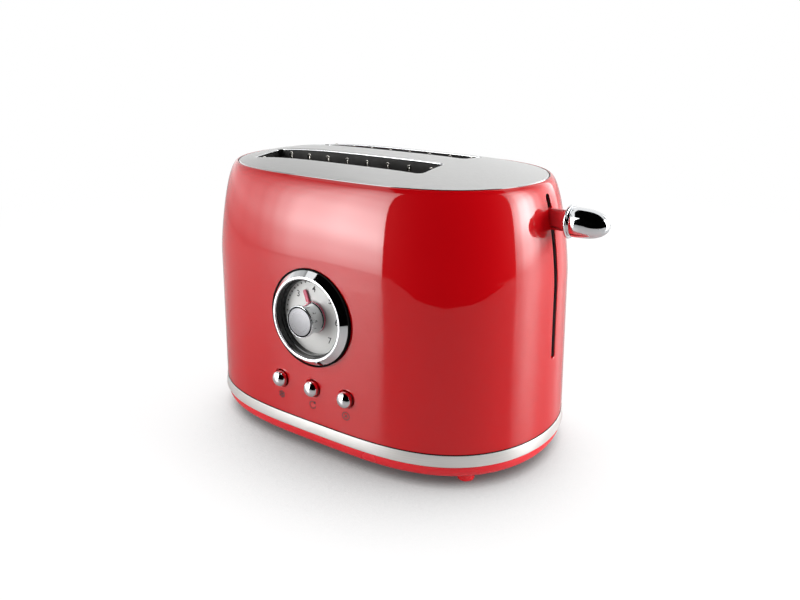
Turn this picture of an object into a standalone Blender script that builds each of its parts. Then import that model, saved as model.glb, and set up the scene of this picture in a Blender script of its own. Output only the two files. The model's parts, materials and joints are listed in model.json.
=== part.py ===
"""Toaster with two bread slots, a browning dial, three push buttons and a side lever.

Metres, +Z up. The dial and buttons face -Y, the lever end is +X, and the floor is Z = 0.
Heights are measured from the floor, lengths and depths from the middle of the body.
"""

import math

import bmesh
import bpy
from mathutils import Matrix, Vector

# Fits that every piece shares
GAP = 0.0003
OVERRUN = 0.004
MERGE_DISTANCE = 0.00001

# Stack of heights: feet, skirt of the base, bright band, body
FOOT_HEIGHT = 0.0060
SKIRT_HEIGHT = 0.0084
BAND_HEIGHT = 0.0088
BODY_HEIGHT = 0.1648

# Outline of the body in plan: a flat-fronted oval, fuller along X than an ellipse. Its depth
# follows from the chassis and the bay for the controls in front of it.
BODY_HALF_LENGTH = 0.1356
CONTROL_BAY = 0.0358
FRONT_POWER = 3.44
END_POWER = 2.0
PLAN_POINTS = 56

# Side profile of the body: a slight lean, then the rounded shoulder up to the rim
BODY_LEAN = 0.0045
SHOULDER_HEIGHT = 0.0660
SHOULDER_DEPTH = 0.0136
SHOULDER_POWER = 1.25
SHOULDER_STEPS = 7
SHELL_WALL = 0.0012
LEDGE_WIDTH = 0.0040

# Domed top plate
PLATE_CROWN = 0.0080
PLATE_THICKNESS = 0.0012
PLATE_RING_SHARES = (1.0, 0.86, 0.62, 0.32)

# Bread slots, placed by their distance from each end of the plate. The wider margin at +X
# leaves room for the lever works.
SLOT_LEFT_MARGIN = 0.0292
SLOT_RIGHT_MARGIN = 0.0612
SLOT_WIDTH = 0.0275
SLOT_BRIDGE = 0.0250
SLOT_CORNER = 0.0040

# Steel frame under the plate, with a sleeve round each slot
FRAME_SHEET = 0.0010
FRAME_DROP = 0.0102
FRAME_OVERHANG = 0.0225
SLEEVE_WALL = 0.0008
SLEEVE_DEPTH = 0.0168
NOTCH_WIDTH = 0.0030
NOTCH_TOP_DROP = 0.0020
NOTCH_ARC_STEPS = 3

# Wire guards that close on the bread
GUARD_BARS = 8
GUARD_END_MARGIN = 0.0104
GUARD_WIRE = 0.0016
GUARD_TOP_CLEARANCE = 0.0010
GUARD_FOOT = 0.0500
GUARD_RAIL_DROP = 0.0045
GUARD_TAIL = 0.0020
GUARD_CLOSING = 0.0060
GUARD_SLACK = 0.0005

# Heater boards and reflectors
HEATER_BOARD = 0.0008
HEATER_STANDOFF = 0.0031
HEATER_FOOT = 0.0480
HEATER_TOP_DROP = 0.0040
REFLECTOR_STANDOFF = 0.0032
REFLECTOR_SHEET = 0.0006
REFLECTOR_FOOT = 0.0200

# End plates of the chassis
END_PLATE = 0.0010
END_PLATE_MARGIN = 0.0012

# Bread lifters
LIFTER_DEPTH = 0.0630
LIFTER_SHEET = 0.0015
LIFTER_SPINE = 0.0030
LIFTER_TOOTH_WIDTH = 0.0030
LIFTER_TOOTH_REACH = 0.0055
LIFTER_TAIL = 0.0030
LIFTER_SLACK = 0.0006

# Lever: a flat arm through the end wall, with a bright bullet knob. Its rest height is
# given by its drop below the rim.
LEVER_DROP = 0.0220
LEVER_TRAVEL = 0.0800
ARM_HEIGHT = 0.0130
ARM_THICKNESS = 0.0040
ARM_BEVEL = 0.0006
ARM_SLOT_WIDTH = 0.0050
ARM_SLOT_ABOVE = 0.0084
ARM_SLOT_BELOW = 0.0060
KNOB_STANDOFF = 0.0086
KNOB_FLANGE_RADIUS = 0.0105
KNOB_FLANGE_THICKNESS = 0.0018
KNOB_FLANGE_ROUND = 0.0005
KNOB_NECK_RADIUS = 0.0084
KNOB_NECK_LENGTH = 0.0008
KNOB_RADIUS = 0.0092
KNOB_LENGTH = 0.0232
KNOB_TAPER_POWER = 3.3
KNOB_RINGS = 8

# Carriage that joins the arm to both lifters and rides on a rod
CARRIAGE_PLATE = 0.0025
CARRIAGE_STANDOFF = 0.0021
CARRIAGE_BAR_HEIGHT = 0.0120
CARRIAGE_BAR_OVERHANG = 0.0080
CARRIAGE_RISER_WIDTH = 0.0400
CARRIAGE_RISER_OVER_ARM = 0.0030
BOSS_LENGTH = 0.0120
BOSS_WIDTH = 0.0120
BOSS_HEIGHT = 0.0300
EAR_THICKNESS = 0.0050
ROD_RADIUS = 0.0030
ROD_OFFSET = 0.0140
ARMATURE_THICKNESS = 0.0015
ARMATURE_LENGTH = 0.0210
MAGNET_WIDTH = 0.0150
MAGNET_LENGTH = 0.0200
SPRING_RADIUS = 0.0040
SPRING_WIRE_RADIUS = 0.0004
SPRING_CURLS = 8
SPRING_POINTS_PER_CURL = 8

# Dial on the front wall, measured outward from the wall along the panel's normal
PANEL_TILT = math.radians(3.0)
BEZEL_RADIUS = 0.0333
BEZEL_EDGE = 0.0012
BEZEL_CONE_WIDTH = 0.0049
BEZEL_LIP_WIDTH = 0.0018
BEZEL_LIP_HEIGHT = 0.0055
BEZEL_ROUND = 0.0005
BEZEL_INSERT = 0.0085
BEZEL_SEAT = 0.0030
FACE_DEPTH = 0.0031
FACE_THICKNESS = 0.0012
FACE_BORE = 0.0040
POINTER_RIM = 0.0107
POINTER_REACH = 0.0190
POINTER_WIDTH = 0.0028
POINTER_THICKNESS = 0.0012
POINTER_LIFT = 0.0006
POINTER_ANGLE = math.radians(22.0)
DIAL_KNOB_RADIUS = 0.0108
DIAL_KNOB_WAIST = 0.0102
DIAL_KNOB_LENGTH = 0.0121
DIAL_KNOB_RING = 0.0026
DIAL_KNOB_ROUND = 0.0007
DIAL_KNOB_DISH = 0.0005
SHAFT_RADIUS = 0.0030
SHAFT_GRIP = 0.0070
TURNED_STEPS = 40
SMALL_TURNED_STEPS = 20

# Three push buttons. Their height is given above the lower edge of the body, and the
# dial's height by its clearance above them.
BUTTON_MARGIN = 0.0256
BUTTON_CLEARANCE = 0.0169
BUTTON_PITCH = 0.0286
BUTTON_RADIUS = 0.0056
BUTTON_HOLE_RADIUS = 0.0064
BUTTON_PROUD = 0.0021
BUTTON_DOME = 0.0036
BUTTON_SKIRT = 0.0080
BUTTON_TRAVEL = 0.0025
BUTTON_NAMES = ("defrost", "reheat", "cancel")
DOME_RINGS = 5
SLEEVE_BORE = 0.0061
SLEEVE_OUTER = 0.0073
GUIDE_LENGTH = 0.0090
GUIDE_CLEARANCE = 0.0009
GUIDE_PLATE = 0.0015
GUIDE_MARGIN = 0.0105
GUIDE_HALF_HEIGHT = 0.0088
PLUNGER_RADIUS = 0.0022
PLUNGER_LENGTH = 0.0072
SWITCH_SIDE = 0.0060
SWITCH_SLACK = 0.0005

# Circuit board behind the panel
TIMER_DEPTH = 0.0125
TIMER_SIDE = 0.0260
TIMER_STANDOFF = 0.0015
BOARD_THICKNESS = 0.0016
BOARD_HALF_WIDTH = 0.0400
BOARD_TOP = 0.0200

# Base: floor, skirt and the upstand that locates band and body
BASE_FLOOR = 0.0015
SKIRT_WALL = 0.0022
SKIRT_TUCK = 0.0042
SKIRT_CURVE_SHARES = ((1.0, 0.0), (0.52, 0.29), (0.21, 0.62), (0.07, 1.0))
UPSTAND_WALL = 0.0020
UPSTAND_OVERLAP = 0.0058
BAND_FLARE = 0.0012
BAND_LIP = 0.0003
BAND_BEVEL = 0.0006

# Feet
FOOT_RADIUS = 0.0056
FOOT_FLARE = 0.0005
FOOT_BEVEL = 0.0006
FOOT_INSET_X = 0.0335
FOOT_INSET_Y = 0.0329

# Crumb tray, drawn out at the back
TRAY_FRONT = 0.0560
TRAY_HEIGHT = 0.0056
TRAY_WALL = 0.0010
TRAY_CORNER_STEPS = 12
TRAY_SILL = 0.0003
GRIP_LENGTH = 0.0560
GRIP_THICKNESS = 0.0024
GRIP_PROUD = 0.0034

# Cord gland in the floor of the base
GLAND_INSET_X = 0.0406
GLAND_INSET_Y = 0.0566
GLAND_BORE = 0.0036
GLAND_NECK = 0.0062
GLAND_FLANGE = 0.0090
GLAND_FLANGE_THICKNESS = 0.0016
GLAND_STAND = 0.0080

# Heights and places worked out from the sizes above
BASE_BOTTOM = FOOT_HEIGHT
FLOOR_TOP = BASE_BOTTOM + BASE_FLOOR
BAND_BOTTOM = BASE_BOTTOM + SKIRT_HEIGHT
SHELL_BOTTOM = BAND_BOTTOM + BAND_HEIGHT
RIM = SHELL_BOTTOM + BODY_HEIGHT
LEVER_HEIGHT = RIM - LEVER_DROP
SHOULDER = RIM - SHOULDER_HEIGHT
RIM_INSET = BODY_LEAN + SHOULDER_DEPTH
PLATE_HALF_LENGTH = BODY_HALF_LENGTH - RIM_INSET - GAP
SLOT_LENGTH = 2 * PLATE_HALF_LENGTH - SLOT_LEFT_MARGIN - SLOT_RIGHT_MARGIN
SLOT_MIDDLE = (SLOT_LEFT_MARGIN - SLOT_RIGHT_MARGIN) / 2
SLOT_Y = (SLOT_BRIDGE + SLOT_WIDTH) / 2
GUARD_PITCH = (SLOT_LENGTH - 2 * GUARD_END_MARGIN) / (GUARD_BARS - 1)
FRAME_TOP = RIM - FRAME_DROP
FRAME_BOTTOM = FRAME_TOP - FRAME_SHEET
SLEEVE_BOTTOM = FRAME_TOP - SLEEVE_DEPTH
SLEEVE_INNER = SLOT_WIDTH / 2 + GAP
SLEEVE_OUTER_FACE = SLEEVE_INNER + SLEEVE_WALL
SLEEVE_END = SLOT_LENGTH / 2 + GAP + SLEEVE_WALL
END_INNER = SLEEVE_END + GAP
END_OUTER = END_INNER + END_PLATE
LEFT_END = SLOT_MIDDLE - END_OUTER
RIGHT_END = SLOT_MIDDLE + END_OUTER
GUARD_TOP = RIM - NOTCH_TOP_DROP - GUARD_TOP_CLEARANCE
GUARD_RAIL = SLEEVE_BOTTOM - GUARD_RAIL_DROP
GUARD_OUTER_FACE = SLEEVE_INNER + GUARD_WIRE
HEATER_FACE = SLOT_Y + GUARD_OUTER_FACE + HEATER_STANDOFF
REFLECTOR_FACE = HEATER_FACE + HEATER_BOARD + REFLECTOR_STANDOFF
END_HALF_DEPTH = REFLECTOR_FACE + REFLECTOR_SHEET + END_PLATE_MARGIN
BODY_HALF_DEPTH = END_HALF_DEPTH + CONTROL_BAY
PLATE_HALF_DEPTH = BODY_HALF_DEPTH - RIM_INSET - GAP
LIFTER_TOP = RIM - LIFTER_DEPTH
CARRIAGE_X = RIGHT_END + GUARD_TAIL + CARRIAGE_STANDOFF
CARRIAGE_FACE = CARRIAGE_X + CARRIAGE_PLATE
CARRIAGE_BOTTOM = LIFTER_TOP - CARRIAGE_BAR_HEIGHT / 2
ROD_X = CARRIAGE_FACE + BOSS_LENGTH / 2
ARMATURE_Z = CARRIAGE_BOTTOM
KNOB_BACK = BODY_HALF_LENGTH - BODY_LEAN - SHELL_WALL + KNOB_STANDOFF - GAP
KNOB_TIP = KNOB_BACK + KNOB_FLANGE_THICKNESS + KNOB_NECK_LENGTH + KNOB_LENGTH
POINTER_TOP = POINTER_LIFT + POINTER_THICKNESS - FACE_DEPTH
DIAL_KNOB_BACK = POINTER_TOP + GAP
DIAL_KNOB_FRONT = DIAL_KNOB_BACK + DIAL_KNOB_LENGTH
BUTTON_HEIGHT = SHELL_BOTTOM + BUTTON_MARGIN
DIAL_HEIGHT = BUTTON_HEIGHT + BUTTON_CLEARANCE + BEZEL_RADIUS
TIMER_FRONT = BEZEL_INSERT + TIMER_STANDOFF
BOARD_FACE = TIMER_FRONT + TIMER_DEPTH + GAP
TRAY_BOTTOM = FLOOR_TOP + GAP
TRAY_TOP = TRAY_BOTTOM + TRAY_HEIGHT
TRAY_HALF_WIDTH = END_INNER - GAP
GRIP_ROOT = BODY_HALF_DEPTH - SKIRT_TUCK
GRIP_REACH = BODY_HALF_DEPTH + GRIP_PROUD
FOOT_X = BODY_HALF_LENGTH - FOOT_INSET_X
FOOT_Y = BODY_HALF_DEPTH - FOOT_INSET_Y
GLAND_X = BODY_HALF_LENGTH - GLAND_INSET_X
GLAND_Y = BODY_HALF_DEPTH - GLAND_INSET_Y


def inset_at(height):
    """How far the body's wall stands inside its widest outline at this height."""
    lean = BODY_LEAN * (height - SHELL_BOTTOM) / BODY_HEIGHT
    share = max(0, (height - SHOULDER) / SHOULDER_HEIGHT)
    return lean + SHOULDER_DEPTH * (1 - math.sqrt(1 - share**SHOULDER_POWER))


def wall_y(height):
    """Distance of the front wall from the middle at this height."""
    return BODY_HALF_DEPTH - inset_at(height)


WALL_AT_DIAL = wall_y(DIAL_HEIGHT)
PANEL_NORMAL = Vector((0, -math.cos(PANEL_TILT), math.sin(PANEL_TILT)))
REACH_RIGHT = KNOB_TIP
REACH_LEFT = BODY_HALF_LENGTH + BAND_FLARE
REACH_FRONT = (
    WALL_AT_DIAL
    + DIAL_KNOB_FRONT * math.cos(PANEL_TILT)
    + (DIAL_KNOB_RADIUS - DIAL_KNOB_ROUND) * math.sin(PANEL_TILT)
)
REACH_BACK = GRIP_REACH


def plan_angles():
    """Parameters round the outline, closer together where it bends, alike in all quarters."""
    fine = 720
    weights = [0]
    turn = 0
    previous = plan_point(BODY_HALF_LENGTH, BODY_HALF_DEPTH, 0)
    heading = math.pi / 2
    perimeter = BODY_HALF_LENGTH + BODY_HALF_DEPTH
    for step in range(1, fine + 1):
        point = plan_point(BODY_HALF_LENGTH, BODY_HALF_DEPTH, math.pi / 2 * step / fine)
        moved = point - previous
        now = math.atan2(moved.y, moved.x)
        turn = abs(now - heading) / (math.pi / 2)
        weights.append(weights[-1] + moved.length / perimeter + turn)
        previous = point
        heading = now
    quarter = []
    per_quarter = PLAN_POINTS // 4
    index = 0
    for place in range(per_quarter):
        while weights[index] < weights[-1] * place / per_quarter:
            index += 1
        quarter.append(math.pi / 2 * index / fine)
    angles = list(quarter)
    angles += [math.pi / 2] + [math.pi - angle for angle in reversed(quarter[1:])]
    angles += [angle + math.pi for angle in angles]
    return angles


def plan_point(half_length, half_depth, angle):
    """Point of the flat-fronted oval at this parameter."""
    across = math.cos(angle)
    along = math.sin(angle)
    x = half_length * math.copysign(abs(across) ** (2 / FRONT_POWER), across)
    y = half_depth * math.copysign(abs(along) ** (2 / END_POWER), along)
    return Vector((x, y))


def plan_depth(x, half_length, half_depth):
    """Half-depth of the oval at a distance x from its middle."""
    return half_depth * (1 - abs(x / half_length) ** FRONT_POWER) ** (1 / END_POWER)


def ring(inset, height):
    """The body's outline, drawn in by an inset, at one height."""
    points = []
    for angle in ANGLES:
        flat = plan_point(BODY_HALF_LENGTH - inset, BODY_HALF_DEPTH - inset, angle)
        points.append(Vector((flat.x, flat.y, height)))
    return points


def dome_height(x, y):
    """Height of the top plate's upper face."""
    share = abs(x / PLATE_HALF_LENGTH) ** FRONT_POWER + abs(y / PLATE_HALF_DEPTH) ** END_POWER
    return RIM + PLATE_CROWN * (1 - share)


def dome_ring(share, drop):
    """One oval of the dome, at this share of its size, lowered by a drop."""
    points = []
    for angle in ANGLES:
        flat = share * plan_point(PLATE_HALF_LENGTH, PLATE_HALF_DEPTH, angle)
        points.append(Vector((flat.x, flat.y, dome_height(flat.x, flat.y) - drop)))
    return points


ANGLES = plan_angles()


def clear_scene():
    for old in list(bpy.data.objects):
        bpy.data.objects.remove(old, do_unlink=True)


def new_collection(name, hidden=False):
    collection = bpy.data.collections.new(name)
    collection.hide_render = hidden
    bpy.context.scene.collection.children.link(collection)
    return collection


def empty(name, location, rotation=(0, 0, 0), parent=None):
    marker = bpy.data.objects.new(name, None)
    marker.location = location
    marker.rotation_euler = rotation
    marker.parent = parent
    PIECES.objects.link(marker)
    return marker


def material(name, colour, metallic, roughness):
    made = bpy.data.materials.new(name)
    made.use_nodes = True
    shader = made.node_tree.nodes["Principled BSDF"]
    shader.inputs["Base Color"].default_value = (*colour, 1)
    shader.inputs["Metallic"].default_value = metallic
    shader.inputs["Roughness"].default_value = roughness
    made.diffuse_color = (*colour, 1)
    return made


def place(obj, finish, parent, location=(0, 0, 0), rotation=(0, 0, 0)):
    """Adds a piece to the object with its material and its place."""
    obj.data.materials.clear()
    obj.data.materials.append(finish)
    obj.parent = parent
    obj.location = location
    obj.rotation_euler = rotation
    PIECES.objects.link(obj)
    return obj


def helper(obj, parent, location=(0, 0, 0), rotation=(0, 0, 0)):
    """Adds a cutter, which is no piece of the object."""
    obj.parent = parent
    obj.location = location
    obj.rotation_euler = rotation
    obj.hide_render = True
    obj.display_type = "WIRE"
    CUTTERS.objects.link(obj)
    return obj


def object_from(name, mesh_builder):
    """A new object whose mesh the builder function fills in."""
    mesh = bpy.data.meshes.new(name)
    shape = bmesh.new()
    mesh_builder(shape)
    shape.to_mesh(mesh)
    shape.free()
    return bpy.data.objects.new(name, mesh)


def loft(name, sections, cap_first=False, cap_last=False, loop=False, point=None):
    """A skin through rings of equal count. A loop joins the last ring to the first."""

    def build(shape):
        rings = [[shape.verts.new(place) for place in section] for section in sections]
        pairs = list(zip(rings, rings[1:]))
        if loop:
            pairs.append((rings[-1], rings[0]))
        for lower, upper in pairs:
            for index in range(len(lower)):
                after = (index + 1) % len(lower)
                shape.faces.new((lower[index], lower[after], upper[after], upper[index]))
        if cap_first:
            shape.faces.new(list(reversed(rings[0])))
        if cap_last:
            shape.faces.new(rings[-1])
        if point is not None:
            tip = shape.verts.new(point)
            for index in range(len(rings[-1])):
                after = (index + 1) % len(rings[-1])
                shape.faces.new((rings[-1][index], rings[-1][after], tip))
        if loop or cap_first:
            bmesh.ops.recalc_face_normals(shape, faces=shape.faces)
        for face in shape.faces:
            face.smooth = True

    return object_from(name, build)


def block(name, low, high):
    """A box between two corners."""
    size = Vector(high) - Vector(low)
    middle = (Vector(high) + Vector(low)) / 2

    def build(shape):
        matrix = Matrix.Translation(middle) @ Matrix.Diagonal((*size, 1))
        bmesh.ops.create_cube(shape, size=1, matrix=matrix)

    return object_from(name, build)


def rod(name, radius, bottom, top, steps=SMALL_TURNED_STEPS):
    """A round bar along local Z between two heights."""

    def build(shape):
        bmesh.ops.create_cone(
            shape,
            cap_ends=True,
            segments=steps,
            radius1=radius,
            radius2=radius,
            depth=top - bottom,
            matrix=Matrix.Translation((0, 0, (top + bottom) / 2)),
        )

    obj = object_from(name, build)
    obj.data.shade_smooth()
    obj.data.set_sharp_from_angle(angle=math.radians(40))
    return obj


def turned(name, profile, steps, ring_shaped=False):
    """A lathe-turned piece about local Z from (radius, height) points, down the outer side."""

    def build(shape):
        points = [shape.verts.new((radius, 0, height)) for radius, height in profile]
        for first, second in zip(points, points[1:]):
            shape.edges.new((first, second))
        if ring_shaped:
            shape.edges.new((points[-1], points[0]))

    obj = object_from(name, build)
    screw = obj.modifiers.new("Turn", "SCREW")
    screw.steps = steps
    screw.render_steps = steps
    screw.use_merge_vertices = True
    screw.merge_threshold = MERGE_DISTANCE
    screw.use_smooth_shade = True
    return obj


def sheet(name, outlines, thickness):
    """A flat piece from closed outlines, the first outside and the rest holes."""
    curve = bpy.data.curves.new(name, "CURVE")
    curve.dimensions = "2D"
    curve.fill_mode = "BOTH"
    curve.extrude = thickness / 2
    for outline in outlines:
        spline = curve.splines.new("POLY")
        spline.points.add(len(outline) - 1)
        spline.use_cyclic_u = True
        for knot, (x, y) in zip(spline.points, outline):
            knot.co = (x, y, 0, 1)
    return bpy.data.objects.new(name, curve)


def as_mesh(flat):
    """The sheet's own mesh, with its caps welded, so that it can be cut or can cut."""
    scene = bpy.context.scene.collection
    scene.objects.link(flat)
    bpy.context.view_layer.update()
    graph = bpy.context.evaluated_depsgraph_get()
    mesh = bpy.data.meshes.new_from_object(flat.evaluated_get(graph))
    shape = bmesh.new()
    shape.from_mesh(mesh)
    bmesh.ops.remove_doubles(shape, verts=shape.verts, dist=MERGE_DISTANCE)
    bmesh.ops.recalc_face_normals(shape, faces=shape.faces)
    shape.to_mesh(mesh)
    shape.free()
    solid = bpy.data.objects.new(flat.name + "_solid", mesh)
    solid.matrix_world = flat.matrix_world
    bpy.data.objects.remove(flat, do_unlink=True)
    return solid


def rectangle(low_x, low_y, high_x, high_y):
    return [(low_x, low_y), (high_x, low_y), (high_x, high_y), (low_x, high_y)]


def rounded_rectangle(half_x, half_y, corner, steps, middle=(0, 0)):
    """A rectangle with round corners about a middle point."""
    points = []
    for quarter in range(4):
        sign_x = 1 if quarter in (0, 3) else -1
        sign_y = 1 if quarter in (0, 1) else -1
        for step in range(steps + 1):
            angle = math.pi / 2 * (quarter + step / steps)
            x = middle[0] + sign_x * (half_x - corner) + corner * math.cos(angle)
            y = middle[1] + sign_y * (half_y - corner) + corner * math.sin(angle)
            points.append((x, y))
    return points


def boolean(obj, other, operation, name):
    change = obj.modifiers.new(name, "BOOLEAN")
    change.operation = operation
    change.solver = "EXACT"
    change.object = other


def cut(obj, *cutters):
    for number, cutter in enumerate(cutters):
        boolean(obj, cutter, "DIFFERENCE", "Cut %d" % number)


def join(obj, *others):
    for number, other in enumerate(others):
        boolean(obj, other, "UNION", "Join %d" % number)


def soften(obj, width):
    bevel = obj.modifiers.new("Edge", "BEVEL")
    bevel.width = width
    bevel.segments = 1
    bevel.limit_method = "ANGLE"


def thicken(obj, wall):
    """Gives an open skin its wall, on the side away from its faces' normals."""
    wall_modifier = obj.modifiers.new("Wall", "SOLIDIFY")
    wall_modifier.thickness = wall
    wall_modifier.offset = -1
    wall_modifier.use_even_offset = True


def panel_depth(height):
    """Where the wall lies along the panel's normal, seen from the dial's middle."""
    offset = Vector((0, WALL_AT_DIAL - wall_y(height), height - DIAL_HEIGHT))
    return offset.dot(PANEL_NORMAL)


def dome_body(name, drop, top):
    """The space between the dome, lowered by a drop, and a level top."""
    sections = [dome_ring(share, drop) for share in reversed(PLATE_RING_SHARES)]
    flat = [Vector((point.x, point.y, top)) for point in sections[-1]]
    middle = Vector((0, 0, dome_height(0, 0) - drop))

    def build(shape):
        rings = [[shape.verts.new(point) for point in section] for section in (*sections, flat)]
        tip = shape.verts.new(middle)
        for index in range(PLAN_POINTS):
            after = (index + 1) % PLAN_POINTS
            shape.faces.new((tip, rings[0][index], rings[0][after]))
            for inner, outer in zip(rings, rings[1:]):
                shape.faces.new((inner[index], outer[index], outer[after], inner[after]))
        shape.faces.new(rings[-1])
        bmesh.ops.recalc_face_normals(shape, faces=shape.faces)

    return object_from(name, build)


def make_body_shell():
    """Painted steel shell: barrel wall, shoulder, and a ledge that carries the top plate."""
    sections = [ring(0, SHELL_BOTTOM)]
    for step in range(SHOULDER_STEPS):
        share = math.sin(math.pi / 2 * step / SHOULDER_STEPS) ** (2 / SHOULDER_POWER)
        height = SHOULDER + SHOULDER_HEIGHT * share
        sections.append(ring(inset_at(height), height))
    sections.append(ring(RIM_INSET, RIM))
    ledge = RIM - PLATE_THICKNESS - GAP
    sections.append(ring(RIM_INSET, ledge))
    sections.append(ring(RIM_INSET + LEDGE_WIDTH, ledge))
    shell = loft("body_shell", sections)
    thicken(shell, SHELL_WALL)
    place(shell, RED_PAINT, ROOT)
    dial_hole = helper(
        rod("dial_hole", BEZEL_RADIUS + GAP, -BEZEL_INSERT - OVERRUN, OVERRUN, TURNED_STEPS), PANEL
    )
    cut(shell, dial_hole)
    for number, name in enumerate(BUTTON_NAMES):
        wall = panel_depth(BUTTON_HEIGHT)
        hole = rod("hole_" + name, BUTTON_HOLE_RADIUS, wall - OVERRUN, wall + OVERRUN)
        cut(shell, helper(hole, PANEL, (button_x(number), BUTTON_HEIGHT - DIAL_HEIGHT, 0)))
    low = LEVER_HEIGHT - LEVER_TRAVEL - ARM_HEIGHT / 2 - ARM_SLOT_BELOW
    high = LEVER_HEIGHT + ARM_HEIGHT / 2 + ARM_SLOT_ABOVE
    outline = rounded_rectangle(
        ARM_SLOT_WIDTH / 2, (high - low) / 2, ARM_SLOT_WIDTH / 2 - GAP, 3, (0, (high + low) / 2)
    )
    reach = BODY_HALF_LENGTH - SHOULDER_DEPTH - SHELL_WALL
    slot = as_mesh(sheet("arm_slot", [outline], BODY_HALF_LENGTH - reach + OVERRUN))
    middle = (BODY_HALF_LENGTH + reach) / 2
    cut(shell, helper(slot, ROOT, (middle, 0, 0), (math.pi / 2, 0, math.pi / 2)))


def make_top_plate():
    """Brushed steel plate, pressed to a low dome, with the two bread slots cut through."""
    sections = [dome_ring(share, 0) for share in PLATE_RING_SHARES]
    plate = loft("top_plate", sections, point=Vector((0, 0, dome_height(0, 0))))
    thicken(plate, PLATE_THICKNESS)
    place(plate, BRUSHED_STEEL, ROOT)
    for side in (-1, 1):
        outline = rounded_rectangle(SLOT_LENGTH / 2, SLOT_WIDTH / 2, SLOT_CORNER, 3)
        opening = as_mesh(sheet("slot_cutter", [outline], PLATE_CROWN + FRAME_DROP + OVERRUN))
        cut(plate, helper(opening, ROOT, (SLOT_MIDDLE, side * SLOT_Y, RIM)))


def make_slot_frame():
    """Dark steel frame: a level sheet on the end plates with a sleeve down each slot."""
    left = LEFT_END - END_PLATE
    right = RIGHT_END + FRAME_OVERHANG
    frame = block(
        "slot_frame", (left, -END_HALF_DEPTH, FRAME_BOTTOM), (right, END_HALF_DEPTH, FRAME_TOP)
    )
    place(frame, DARK_STEEL, ROOT)
    peak = RIM + PLATE_CROWN + OVERRUN
    for side in (-1, 1):
        y = side * SLOT_Y
        sleeve = block(
            "sleeve",
            (SLOT_MIDDLE - SLEEVE_END, y - SLEEVE_OUTER_FACE, SLEEVE_BOTTOM),
            (SLOT_MIDDLE + SLEEVE_END, y + SLEEVE_OUTER_FACE, peak),
        )
        boolean(frame, helper(sleeve, ROOT), "UNION", "Sleeve %d" % side)
    inner_end = SLEEVE_END - SLEEVE_WALL
    for side in (-1, 1):
        y = side * SLOT_Y
        hollow = block(
            "sleeve_hollow",
            (SLOT_MIDDLE - inner_end, y - SLEEVE_INNER, SLEEVE_BOTTOM - OVERRUN),
            (SLOT_MIDDLE + inner_end, y + SLEEVE_INNER, peak + OVERRUN),
        )
        boolean(frame, helper(hollow, ROOT), "DIFFERENCE", "Hollow %d" % side)
    above = dome_body("above_frame", PLATE_THICKNESS + GAP, peak + OVERRUN)
    boolean(frame, helper(above, ROOT), "DIFFERENCE", "Under the plate")
    for side in (-1, 1):
        for face in (-1, 1):
            boolean(frame, notch_row(side, face), "DIFFERENCE", "Notches %d %d" % (side, face))


def notch_row(side, face):
    """Cutter for one wall's row of tall notches with round tops."""
    top = RIM - NOTCH_TOP_DROP
    half = NOTCH_WIDTH / 2
    outlines = []
    for x in guard_bar_places():
        points = [(x - half, SLEEVE_BOTTOM - OVERRUN), (x + half, SLEEVE_BOTTOM - OVERRUN)]
        for step in range(NOTCH_ARC_STEPS + 1):
            angle = math.pi * step / NOTCH_ARC_STEPS
            points.append((x + half * math.cos(angle), top - half + half * math.sin(angle)))
        outlines.append(points)
    inner = SLEEVE_INNER - GUARD_SLACK
    outer = GUARD_OUTER_FACE + GUARD_SLACK
    cutter = as_mesh(sheet("notches", outlines, outer - inner))
    y = side * SLOT_Y + face * (inner + outer) / 2
    return helper(cutter, ROOT, (0, y, 0), (math.pi / 2, 0, 0))


def guard_bar_places():
    """Places along X of the guards' upright wires."""
    first = SLOT_MIDDLE - GUARD_PITCH * (GUARD_BARS - 1) / 2
    return [first + GUARD_PITCH * number for number in range(GUARD_BARS)]


def make_guards():
    """Four wire guards, a front and a rear one in each slot, that close on the bread."""
    places = guard_bar_places()
    half = GUARD_WIRE / 2
    tail_left = LEFT_END - GUARD_TAIL
    tail_right = RIGHT_END + GUARD_TAIL
    outline = [(tail_left, GUARD_FOOT), (tail_right, GUARD_FOOT)]
    outline += [(tail_right, GUARD_FOOT + GUARD_WIRE), (places[-1] + half, GUARD_FOOT + GUARD_WIRE)]
    outline += [(places[-1] + half, GUARD_RAIL), (tail_right, GUARD_RAIL)]
    outline += [(tail_right, GUARD_RAIL + GUARD_WIRE)]
    for x in reversed(places):
        outline += [(x + half, GUARD_RAIL + GUARD_WIRE), (x + half, GUARD_TOP)]
        outline += [(x - half, GUARD_TOP), (x - half, GUARD_RAIL + GUARD_WIRE)]
    outline += [(tail_left, GUARD_RAIL + GUARD_WIRE), (tail_left, GUARD_RAIL)]
    outline += [(places[0] - half, GUARD_RAIL), (places[0] - half, GUARD_FOOT + GUARD_WIRE)]
    outline += [(tail_left, GUARD_FOOT + GUARD_WIRE)]
    cells = [outline]
    for first, second in zip(places, places[1:]):
        cells.append(rectangle(first + half, GUARD_FOOT + GUARD_WIRE, second - half, GUARD_RAIL))
    for slot, side in (("front", -1), ("rear", 1)):
        for wall, face in (("outer", side), ("inner", -side)):
            guard = sheet("guard_%s_%s" % (slot, wall), cells, GUARD_WIRE)
            y = side * SLOT_Y + face * (SLEEVE_INNER + half)
            place(guard, WIRE_STEEL, ROOT, (0, y, 0), (math.pi / 2, 0, 0))


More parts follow.
